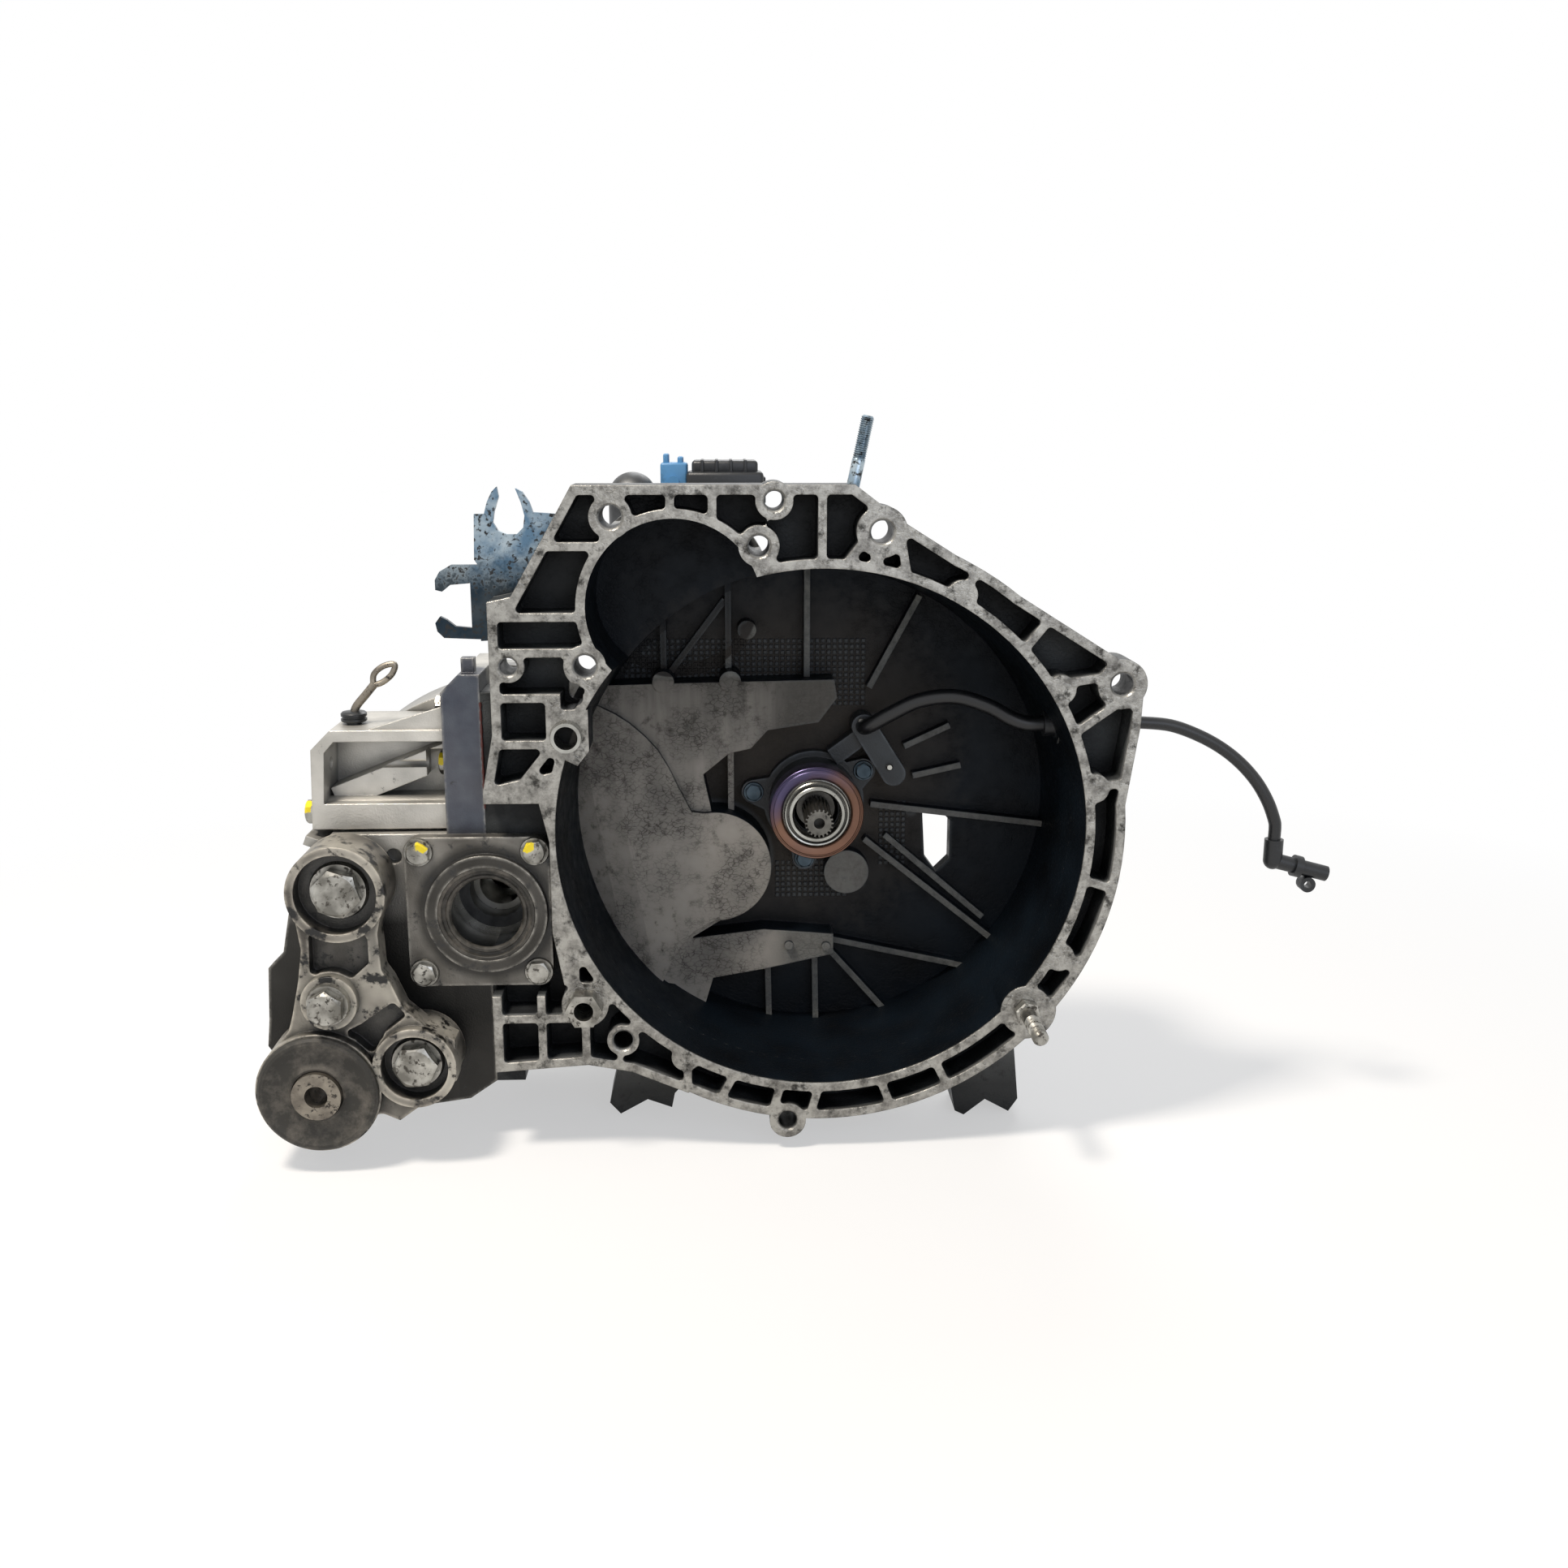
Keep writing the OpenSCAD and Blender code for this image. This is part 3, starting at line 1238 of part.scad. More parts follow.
// The plastic cap that holds the cable's end on the selector shaft.
module lever_cap() {
    low = turret_top + 18;
    color("#1b1c1e") translate([rail_axis[0], turret_y, low]) difference() {
        union() {
            translate([-12, -18, 14]) cube([54, 36, selector_top + 20 - low - 14]);
            translate([-30, -10, 22]) cube([20, 20, selector_top + 24 - low - 22]);
            cylinder(h = 16, r = selector_r + 4);
        }
        translate([0, 0, -cut]) cylinder(h = selector_top - low + cut, r = selector_r);
    }
}

// Sheet-metal forks for the shift cables, behind the rim.
module cable_bracket() {
    color("#aebfd0") {
        along_y(rim_depth, sheet_t) {
            polygon(cable_forks);
            polygon(cable_hook);
        }
        along_y(rim_depth + sheet_t - cut, fork_fold) {
            translate([-206, 162]) square([30, sheet_t]);
            translate([-210, 117]) square([sheet_t, 40]);
        }
    }
}

// The differential.

module diff_carrier() {
    color("#7e8083") difference() {
        union() {
            rod(diff_axis, diff_front_y, diff_end - diff_front_y, neck_r - run_gap);
            rod(diff_axis, carrier_y, 8, neck_r + 8);
            cone_rod(diff_axis, carrier_y + 4, 12, neck_r + 6, carrier_r);
            rod(diff_axis, carrier_y + 16 - cut, carrier_end - carrier_y - 28 + cut, carrier_r);
            cone_rod(diff_axis, carrier_end - 12 - cut, 12, carrier_r, neck_r + 6);
            rod(diff_axis, ring_y + ring_w - ring_web - 12, 12, carrier_flange_r);
        }
        rod(diff_axis, diff_front_y - cut, diff_end - diff_front_y + 2 * cut, drive_bore_r + 4);
        rod(diff_axis, carrier_y + 14, carrier_end - carrier_y - 26, carrier_r - wall);
        translate([diff_axis[0] - 100, diff_mid - 20, diff_axis[1] - 28]) cube([200, 40, 56]);
        translate([diff_axis[0], diff_mid, diff_axis[1] - 100]) cylinder(h = 200, r = pin_r);
    }
}

module ring_gear() {
    color("#a8a8a4") difference() {
        gear(diff_axis, ring_y, ring_w, ring_teeth, final_m, final_turn + 180 + 180 / ring_teeth, carrier_r);
        rod(diff_axis, ring_y - cut, ring_w - ring_web + cut, carrier_flange_r + 2);
    }
}

// The pin across the carrier that carries the small bevel gears.
module cross_pin() {
    color("#b0b0ad") translate([diff_axis[0], diff_mid, diff_axis[1] - carrier_r + 2])
        cylinder(h = 2 * carrier_r - 4, r = pin_r);
}

module diff_pinions() {
    color("#a6a6a2") for (s = [0, 180])
        translate([diff_axis[0], diff_mid, diff_axis[1]]) rotate([s, 0, 0]) difference() {
            translate([0, 0, 22]) cylinder(h = pinion_back - 22, r1 = 10, r2 = pinion_gear_r);
            translate([0, 0, pin_r]) cylinder(h = pinion_back, r = pin_r);
        }
}

// The bevel gears that drive the two drive shafts.
module side_gears() {
    color("#a6a6a2") for (s = [90, -90])
        translate([diff_axis[0], diff_mid, diff_axis[1]]) rotate([s, 0, 0]) difference() {
            union() {
                translate([0, 0, 14]) cylinder(h = 10, r1 = 20, r2 = 27);
                translate([0, 0, 23]) cylinder(h = 26, r = drive_bore_r + 4);
            }
            translate([0, 0, 0]) cylinder(h = 90, r = drive_bore_r);
        }
}

module diff_bearings() {
    color("#b4b5b3") for (y = [diff_front_y, diff_rear_y]) tube(diff_axis, y, bearing_w, diff_brg_r, neck_r);
}

// Small pieces on the engine face and the side housing.

// Place and lean of the stud on the rim's top edge.
module top_stud_place() {
    translate([17, 18, 204]) rotate([0, 12, 0]) children();
}

module engine_studs() {
    color("#7d7a70") {
        rod(stud_at, -stud_out, stud_out + stud_in, stud_r);
        rod(stud_at, -8, 8, stud_r + 3);
        top_stud_place() cylinder(h = 46, r = top_stud_r);
    }
}

module dowel_sleeve() {
    color("#a6a49c") difference() {
        union() {
            rod(dowel_at, -dowel_out, dowel_out + cut, dowel_r);
            rod(dowel_at, 0, dowel_in, dowel_seat_r);
        }
        rod(dowel_at, -dowel_out - cut, dowel_out + dowel_in + 2 * cut, dowel_bore_r);
    }
}

module hex_fitting() {
    color("#8f8a7c") translate([fitting_at[0], 0, fitting_at[1]]) rotate([-90, 0, 0]) difference() {
        union() {
            translate([0, 0, -12]) cylinder(h = 12, r = fitting_r, $fn = 6);
            translate([0, 0, -1]) cylinder(h = 15, r = fitting_bore_r + 2);
        }
        translate([0, 0, -13]) cylinder(h = 40, r = fitting_bore_r);
    }
}

// The breather's cap and its bent wire clip.
module breather() {
    color("#1d1e20") translate([breather_at[0], breather_at[1], side_box_top]) {
        translate([0, 0, -9]) cylinder(h = 10, r = breather_r);
        cylinder(h = 8, r = breather_r + 3);
        translate([0, 0, 6]) rotate([0, 38, 0]) cylinder(h = 34, r = 2.5);
        translate([20, 0, 32]) rotate([0, 38, 0]) cube([14, 4, 10], center = true);
    }
}

bell_rim();
bell_housing();
bell_floor();
gear_casing();
end_cover();
side_housing();
casing_bolts();
cover_bolts();
side_bolts();
output_plate();
output_plate_bolts();
output_seal();
torque_bracket();
bracket_bolts();
bush_rubber();
bush_sleeve();
slave_cylinder();
slave_bolts();
release_bearing();
release_face();
slave_pipe();
hose_gland();
clutch_hose();
hose_elbow();
input_shaft();
input_gears();
input_bearings();
output_shaft();
output_bearings();
gear_1();
gear_2();
gear_3();
gear_4();
gear_5();
hub_12();
hub_34();
hub_5();
sleeve_12();
sleeve_34();
sleeve_5();
fork_12();
fork_34();
fork_5();
shift_rail();
selector_shaft();
shift_turret();
turret_bolts();
shift_lever();
lever_cap();
cable_bracket();
diff_carrier();
ring_gear();
cross_pin();
diff_pinions();
side_gears();
diff_bearings();
engine_studs();
dowel_sleeve();
hex_fitting();
breather();
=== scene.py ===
"""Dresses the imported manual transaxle: finishes for its solids and pieces for its fine detail."""

from __future__ import annotations

import json
import logging
import math
from dataclasses import dataclass
from enum import Enum
from typing import Any, Sequence

import bmesh
import bpy
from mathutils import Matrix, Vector

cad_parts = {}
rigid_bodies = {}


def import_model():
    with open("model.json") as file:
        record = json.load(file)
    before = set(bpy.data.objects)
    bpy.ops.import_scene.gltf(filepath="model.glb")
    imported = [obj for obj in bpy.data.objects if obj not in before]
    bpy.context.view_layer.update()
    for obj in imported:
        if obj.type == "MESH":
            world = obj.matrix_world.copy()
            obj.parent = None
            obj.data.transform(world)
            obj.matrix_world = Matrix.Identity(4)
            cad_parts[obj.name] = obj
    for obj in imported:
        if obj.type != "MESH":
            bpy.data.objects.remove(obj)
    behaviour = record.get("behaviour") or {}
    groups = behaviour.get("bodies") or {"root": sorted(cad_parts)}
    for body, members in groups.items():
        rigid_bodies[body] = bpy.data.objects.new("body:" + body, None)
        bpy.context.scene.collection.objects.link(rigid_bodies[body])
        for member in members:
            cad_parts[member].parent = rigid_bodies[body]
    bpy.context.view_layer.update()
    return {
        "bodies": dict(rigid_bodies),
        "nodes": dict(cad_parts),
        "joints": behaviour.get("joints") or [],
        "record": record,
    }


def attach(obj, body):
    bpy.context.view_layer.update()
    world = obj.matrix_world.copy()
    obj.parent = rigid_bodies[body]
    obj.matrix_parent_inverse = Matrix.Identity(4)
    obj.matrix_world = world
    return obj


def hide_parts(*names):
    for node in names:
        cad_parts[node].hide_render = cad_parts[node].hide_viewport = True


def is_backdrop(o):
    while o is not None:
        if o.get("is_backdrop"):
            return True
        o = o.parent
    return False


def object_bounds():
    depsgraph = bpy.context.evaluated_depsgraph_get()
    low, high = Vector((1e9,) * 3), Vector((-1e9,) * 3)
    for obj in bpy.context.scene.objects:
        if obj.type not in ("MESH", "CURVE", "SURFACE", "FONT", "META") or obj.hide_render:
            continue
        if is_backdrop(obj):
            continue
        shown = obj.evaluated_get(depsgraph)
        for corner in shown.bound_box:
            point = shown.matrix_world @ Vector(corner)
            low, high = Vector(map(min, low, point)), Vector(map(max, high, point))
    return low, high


LOG = logging.getLogger("transaxle")
Point = tuple[float, float, float]
Flat = tuple[float, float]
Box = tuple[Vector, Vector]
Shape = tuple[list[Vector], list[list[int]]]
Block = tuple[Point, Point, float]
Socket = bpy.types.NodeSocket
Tree = bpy.types.NodeTree
Piece = bpy.types.Object

# Places that the solids and the dressed pieces share, in millimetres.
DRIVE_AXIS: Flat = (-206.62, -50.0)
EYE_AXIS: Flat = (-309.0, -154.0)
STARTER_AXIS: Flat = (-88.0, 139.0)
MOUTH_R = 162.0
STARTER_R = 52.0
FLOOR_Y = 100.0
FLOOR_R = 154.0
RIM_DEPTH = 32.0

# Points closer than this, in metres, become one.
WELD = 1e-6
# The angle in degrees from which an edge of a repeated piece is sharp.
SHARP = 28.0

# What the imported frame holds. main() fills it.
FRAME: dict[str, Any] = {}


def mm(value: float) -> float:
    """Turns millimetres into metres."""
    return value * 0.001


def place(x: float, y: float, z: float) -> Vector:
    """Turns a point in millimetres into a vector in metres."""
    return Vector((mm(x), mm(y), mm(z)))


def srgb(code: str) -> tuple[float, float, float, float]:
    """Turns an sRGB hex colour into linear RGBA.

    Args:
        code: A colour such as "#8a8d90".

    Returns:
        The linear colour with full alpha.
    """
    parts = [int(code[i : i + 2], 16) / 255.0 for i in (1, 3, 5)]
    line = [c / 12.92 if c <= 0.04045 else ((c + 0.055) / 1.055) ** 2.4 for c in parts]
    return (line[0], line[1], line[2], 1.0)


class Graph:
    """A node tree with the one way in which a node is added to it."""

    def __init__(self, tree: Tree) -> None:
        """Keeps the tree that nodes go into."""
        self.tree = tree

    def add(
        self,
        kind: str,
        inputs: dict[int | str, Any] | Sequence[Any] = (),
        out: int | str = 0,
        **settings: Any,
    ) -> Socket:
        """Adds a node with its settings and links.

        Args:
            kind: The node's type name.
            inputs: Values, or sockets to link, in the order of the node's inputs, or by input name or
                index. A list among them goes to a multi-input.
            out: The output that is returned.
            **settings: Properties of the node itself.

        Returns:
            The chosen output socket.
        """
        node = self.tree.nodes.new(kind)
        for key, value in settings.items():
            setattr(node, key, value)
        for key, value in inputs.items() if isinstance(inputs, dict) else enumerate(inputs):
            for one in value if isinstance(value, list) else [value]:
                if isinstance(one, Socket):
                    self.tree.links.new(one, node.inputs[key])
                else:
                    node.inputs[key].default_value = one
        return node.outputs[out] if len(node.outputs) else None


def fresh(owner: bpy.types.Material | bpy.types.World) -> Graph:
    """Empties the node tree of a material or a world.

    Args:
        owner: The material or the world.

    Returns:
        The graph of its tree.
    """
    owner.use_nodes = True
    owner.node_tree.nodes.clear()
    return Graph(owner.node_tree)


def linked(name: str, data: bpy.types.ID) -> Piece:
    """Makes an object from its data and links it to the scene.

    Args:
        name: The object's name.
        data: Its mesh, lamp or camera.

    Returns:
        The new object.
    """
    made = bpy.data.objects.new(name, data)
    bpy.context.scene.collection.objects.link(made)
    return made


# Finishes. Sizes in their graphs are in metres, as the object's coordinates are. Each Map Range node is
# given its value, the two ends that it maps from and the two that it maps to.

# What a node is told when it mixes the colours of its inputs 6 and 7, when it multiplies, and when it
# multiplies and adds.
MIX = {"out": 2, "data_type": "RGBA"}
TIMES = {"operation": "MULTIPLY"}
PLUS = {"operation": "MULTIPLY_ADD"}
# What a node is told when it looks for corners, from outside, or for edges, from inside the metal.
CORNERS = {"out": "AO", "samples": 6}
EDGES = {**CORNERS, "inside": True, "only_local": True}


def round_axis(g: Graph, at: Socket, middle: Flat) -> Socket:
    """Measures how far a point is from an axis that runs along Y.

    Args:
        g: The material's graph.
        at: The place on the piece.
        middle: The axis's X and Z, in millimetres.

    Returns:
        The distance, in metres.
    """
    flat = g.add("ShaderNodeVectorMath", [at, (1.0, 0.0, 1.0)], **TIMES)
    axis = (mm(middle[0]), 0.0, mm(middle[1]))
    return g.add("ShaderNodeVectorMath", [flat, axis], "Value", operation="DISTANCE")


@dataclass(frozen=True)
class Finish:
    """A procedural finish with a name of its own."""

    name: str

    def material(self) -> bpy.types.Material:
        """Returns the finish's material, made the first time."""
        found = bpy.data.materials.get(self.name)
        if found:
            return found
        made = bpy.data.materials.new(self.name)
        graph = fresh(made)
        graph.add("ShaderNodeOutputMaterial", {"Surface": self.surface(graph)})
        return made

    def surface(self, g: Graph) -> Socket:
        """Draws the finish.

        Args:
            g: The material's graph.

        Returns:
            The finish's shader.
        """
        raise NotImplementedError


@dataclass(frozen=True)
class CastAluminium(Finish):
    """Die-cast aluminium after years under a car: pale skin, dark in corners with deposits and painted
    shade, freckled with oil.
    """

    pale: str = "#a5a5a2"
    deep: str = "#7b7c7b"
    # The dark colour, and how much of it there is, stand for deposits and for painted shade in the
    # corners.
    grime_and_shade: str = "#1d1d1c"
    dirt_and_shade: float = 0.5
    rough: float = 0.46
    metal: float = 0.75
    edge: str = "#bdbab2"
    worn: float = 0.8
    corner_mm: float = 12.0

    def surface(self, g: Graph) -> Socket:
        """Draws the cast skin, its stains, its deposits and the painted shade in its corners.

        Args:
            g: The material's graph.

        Returns:
            The finish's shader.
        """
        at = g.add("ShaderNodeTexCoord", out="Object")
        # Stains 35 mm wide, blots 11 mm wide and the 1.1 mm grain of the die.
        stain = g.add("ShaderNodeTexNoise", {"Vector": at, "Scale": 1 / 0.035, "Detail": 3.0})
        noise = {"Vector": at, "Scale": 1 / 0.011, "Detail": 6.0, "Roughness": 0.68}
        blot = g.add("ShaderNodeTexNoise", noise)
        grain = g.add("ShaderNodeTexNoise", {"Vector": at, "Scale": 1 / 0.0011, "Detail": 2.0})
        tone = g.add("ShaderNodeMapRange", [stain, 0.35, 0.66])
        skin = g.add("ShaderNodeMix", {0: tone, 6: srgb(self.pale), 7: srgb(self.deep)}, **MIX)
        skin = self.zone(g, at, skin)
        # Deposits and painted shade fill the corners and deposits spot the rest, more of both the
        # dirtier the casting.
        corner = g.add("ShaderNodeAmbientOcclusion", {"Distance": mm(self.corner_mm)}, **CORNERS)
        smear_and_shade = g.add("ShaderNodeMath", [blot, -0.35, corner], **PLUS)
        corner_shade_and_deposit = g.add("ShaderNodeMapRange", [smear_and_shade, 0.2, 0.72, 1.0, 0.0])
        corner_shade_and_deposit = g.add("ShaderNodeMath", [corner_shade_and_deposit, 0.3 + 0.7 * self.dirt_and_shade], **TIMES)
        clean = 0.72 - 0.2 * self.dirt_and_shade
        spots = g.add("ShaderNodeMapRange", [blot, clean, clean + 0.08])
        soil_and_shade = g.add("ShaderNodeMath", [corner_shade_and_deposit, spots], operation="MAXIMUM", use_clamp=True)
        colour = g.add("ShaderNodeMix", {0: soil_and_shade, 6: skin, 7: srgb(self.grime_and_shade)}, **MIX)
        # Edges are rubbed bright, in a band about 1.5 mm wide that the blots break up.
        edge = g.add("ShaderNodeAmbientOcclusion", {"Distance": 0.0022}, **EDGES)
        edge_band = g.add("ShaderNodeMapRange", [edge, 0.55, 0.9, 1.0, 0.0])
        broken = g.add("ShaderNodeMapRange", [blot, 0.3, 0.62, self.worn, 0.0])
        worn = g.add("ShaderNodeMath", [edge_band, broken], **TIMES)
        colour = g.add("ShaderNodeMix", {0: worn, 6: colour, 7: srgb(self.edge)}, **MIX)
        rough = g.add("ShaderNodeMapRange", [soil_and_shade, 0.0, 1.0, self.rough, 0.36])
        metal = g.add("ShaderNodeMapRange", [soil_and_shade, 0.0, 1.0, self.metal, 0.0])
        soft = g.add("ShaderNodeBevel", {"Radius": 0.001}, samples=4)
        relief = {"Strength": 0.4, "Distance": 0.0004, "Height": grain, "Normal": soft}
        bump = g.add("ShaderNodeBump", relief)
        looks = {"Base Color": colour, "Roughness": rough, "Metallic": metal, "Normal": bump}
        return g.add("ShaderNodeBsdfPrincipled", looks)

    def zone(self, g: Graph, at: Socket, skin: Socket) -> Socket:
        """Changes the skin's colour by its place, before any grime.

        Args:
            g: The material's graph.
            at: The place on the piece.
            skin: The colour all over.

        Returns:
            The colour by place, here the same all over.
        """
        return skin


@dataclass(frozen=True)
class SideCasting(CastAluminium):
    """The side housing's casting: pale with painted light on top, dark with painted shade below, with
    painted shade tinted blue like a sky reflection on its joint flange.
    """

    joint_x: float = -0.231

    def zone(self, g: Graph, at: Socket, skin: Socket) -> Socket:
        """Lays painted shade, tinted blue like a sky reflection, over the flange along the joint, and
        painted shade over the foot.

        Args:
            g: The material's graph.
            at: The place on the piece.
            skin: The colour without the painted shade.

        Returns:
            The colour with the painted shade on the flange and over the foot.
        """
        across, depth, rise = (g.add("ShaderNodeSeparateXYZ", [at], name) for name in "XYZ")
        patch = g.add("ShaderNodeTexNoise", {"Vector": at, "Scale": 1 / 0.012, "Detail": 5.0})
        ragged = g.add("ShaderNodeMath", [patch, 0.03, depth], **PLUS)
        # Behind, out of the painted light, the housing is as grey as the gear casing that it meets.
        rear = g.add("ShaderNodeMapRange", [ragged, 0.09, 0.15, 0.0, 0.85])
        skin = g.add("ShaderNodeMix", {0: rear, 6: skin, 7: srgb("#868683")}, **MIX)
        # Painted shade over the front of the joint flange, stronger higher up, tinted blue like a sky
        # reflection.
        flange_shade = g.add("ShaderNodeMapRange", [across, self.joint_x - 0.0003, self.joint_x + 0.0003])
        upper = g.add("ShaderNodeMapRange", [rise, -0.03, 0.0, 0.2, 0.88])
        ahead = g.add("ShaderNodeMapRange", [ragged, 0.06, 0.075, 1.0, 0.0])
        for share in (upper, ahead):
            flange_shade = g.add("ShaderNodeMath", [flange_shade, share], **TIMES)
        # The noise mottles the painted shade between two blues.
        oil = g.add("ShaderNodeMapRange", [patch, 0.4, 0.62])
        tint = g.add("ShaderNodeMix", {0: oil, 6: srgb("#18233a"), 7: srgb("#2a3546")}, **MIX)
        flange_shaded = g.add("ShaderNodeMix", {0: flange_shade, 6: skin, 7: tint}, **MIX)
        # Painted shade over the foot, darker towards the bottom and strongest in front.
        low = g.add("ShaderNodeMapRange", [rise, -0.06, -0.008, 0.95, 0.0])
        fading = g.add("ShaderNodeMapRange", [ragged, 0.05, 0.13, 1.0, 0.3])
        foot = g.add("ShaderNodeMath", [low, fading], **TIMES)
        return g.add("ShaderNodeMix", {0: foot, 6: flange_shaded, 7: srgb("#100f0e")}, **MIX)


@dataclass(frozen=True)
class OutputPlate(CastAluminium):
    """The output's retaining plate, with a dark oiled ring round its bore."""

    def zone(self, g: Graph, at: Socket, skin: Socket) -> Socket:
        """Lays the oil over the ring.

        Args:
            g: The material's graph.
            at: The place on the piece.
            skin: The colour without the oil.

        Returns:
            The colour with the oil.
        """
        ring = g.add("ShaderNodeMapRange", [round_axis(g, at, DRIVE_AXIS), 0.041, 0.046, 0.75, 0.0])
        return g.add("ShaderNodeMix", {0: ring, 6: skin, 7: srgb("#242321")}, **MIX)


class BellPlaces:
    """Where a point of the bell's casting lies: coordinates, noises and masks that its zones share."""

    # Half the width of the bands in which the casting's three solids meet.
    SEAM = 0.004

    def __init__(self, g: Graph) -> None:
        """Draws the coordinates, the noises and the masks.

        Args:
            g: The material's graph.
        """
        self.at = g.add("ShaderNodeTexCoord", out="Object")
        self.normal = g.add("ShaderNodeNewGeometry", out="Normal")
        self.across, self.depth, self.rise = (
            g.add("ShaderNodeSeparateXYZ", [self.at], name) for name in "XYZ"
        )
        # Stains 40 mm wide and blots 10 mm wide.
        self.stain = g.add("ShaderNodeTexNoise", {"Vector": self.at, "Scale": 1 / 0.04, "Detail": 4.0})
        noise = {"Vector": self.at, "Scale": 1 / 0.010, "Detail": 7.0, "Roughness": 0.7}
        self.blot = g.add("ShaderNodeTexNoise", noise)
        self.tone = g.add("ShaderNodeMapRange", [self.stain, 0.3, 0.7])
        # Painted shade in corners up to 14 mm deep, found by ambient occlusion.
        corner = g.add("ShaderNodeAmbientOcclusion", {"Distance": 0.014}, **CORNERS)
        self.corner_shade_and_deposit = g.add("ShaderNodeMapRange", [corner, 0.3, 0.85, 0.8, 0.0])
        # The two round mouths, and the faces that look toward the engine.
        round_bell = round_axis(g, self.at, (0.0, 0.0))
        round_start = round_axis(g, self.at, STARTER_AXIS)
        self.in_bell, self.in_start = (
            g.add("ShaderNodeMapRange", [reach, mm(radius + 0.4), mm(radius + 1.6), 1.0, 0.0])
            for reach, radius in ((round_bell, MOUTH_R), (round_start, STARTER_R))
        )
        facing = g.add("ShaderNodeSeparateXYZ", [self.normal], "Y")
        self.toward = g.add("ShaderNodeMapRange", [facing, -0.8, -0.3, 1.0, 0.0])
        ahead = g.add("ShaderNodeMapRange", [facing, 0.2, 0.5, 1.0, 0.0])
        either = g.add("ShaderNodeMath", [self.in_bell, self.in_start], operation="MAXIMUM")
        self.mouth = g.add("ShaderNodeMath", [either, ahead], **TIMES)
        self.face = g.add("ShaderNodeMapRange", [self.depth, 0.0004, 0.0012, 1.0, 0.0])
        # The raised floor over the final drive, left of the input shaft and below the starter.
        self.below = g.add("ShaderNodeMapRange", [self.rise, 0.083, 0.087, 1.0, 0.0])
        strayed = g.add("ShaderNodeMath", [self.stain, 0.02, self.across], **PLUS)
        left = g.add("ShaderNodeMapRange", [strayed, -0.028, -0.008, 1.0, 0.25])
        self.dry = g.add("ShaderNodeMapRange", [self.depth, 0.086, 0.096, 1.0, 0.0])
        for share in (self.toward, self.below, left, self.in_bell):
            self.dry = g.add("ShaderNodeMath", [self.dry, share], **TIMES)
        # The casting's three solids meet behind the rim and round the floor. No edge shows there.
        seam = g.add("ShaderNodeMath", [self.depth, mm(RIM_DEPTH), self.SEAM], operation="COMPARE")
        for reach, radius in ((round_bell, FLOOR_R), (round_start, STARTER_R)):
            band = g.add("ShaderNodeMath", [reach, mm(radius), self.SEAM], operation="COMPARE")
            seam = g.add("ShaderNodeMath", [seam, band], operation="MAXIMUM")
        self.whole = g.add("ShaderNodeMath", [1.0, seam], operation="SUBTRACT")


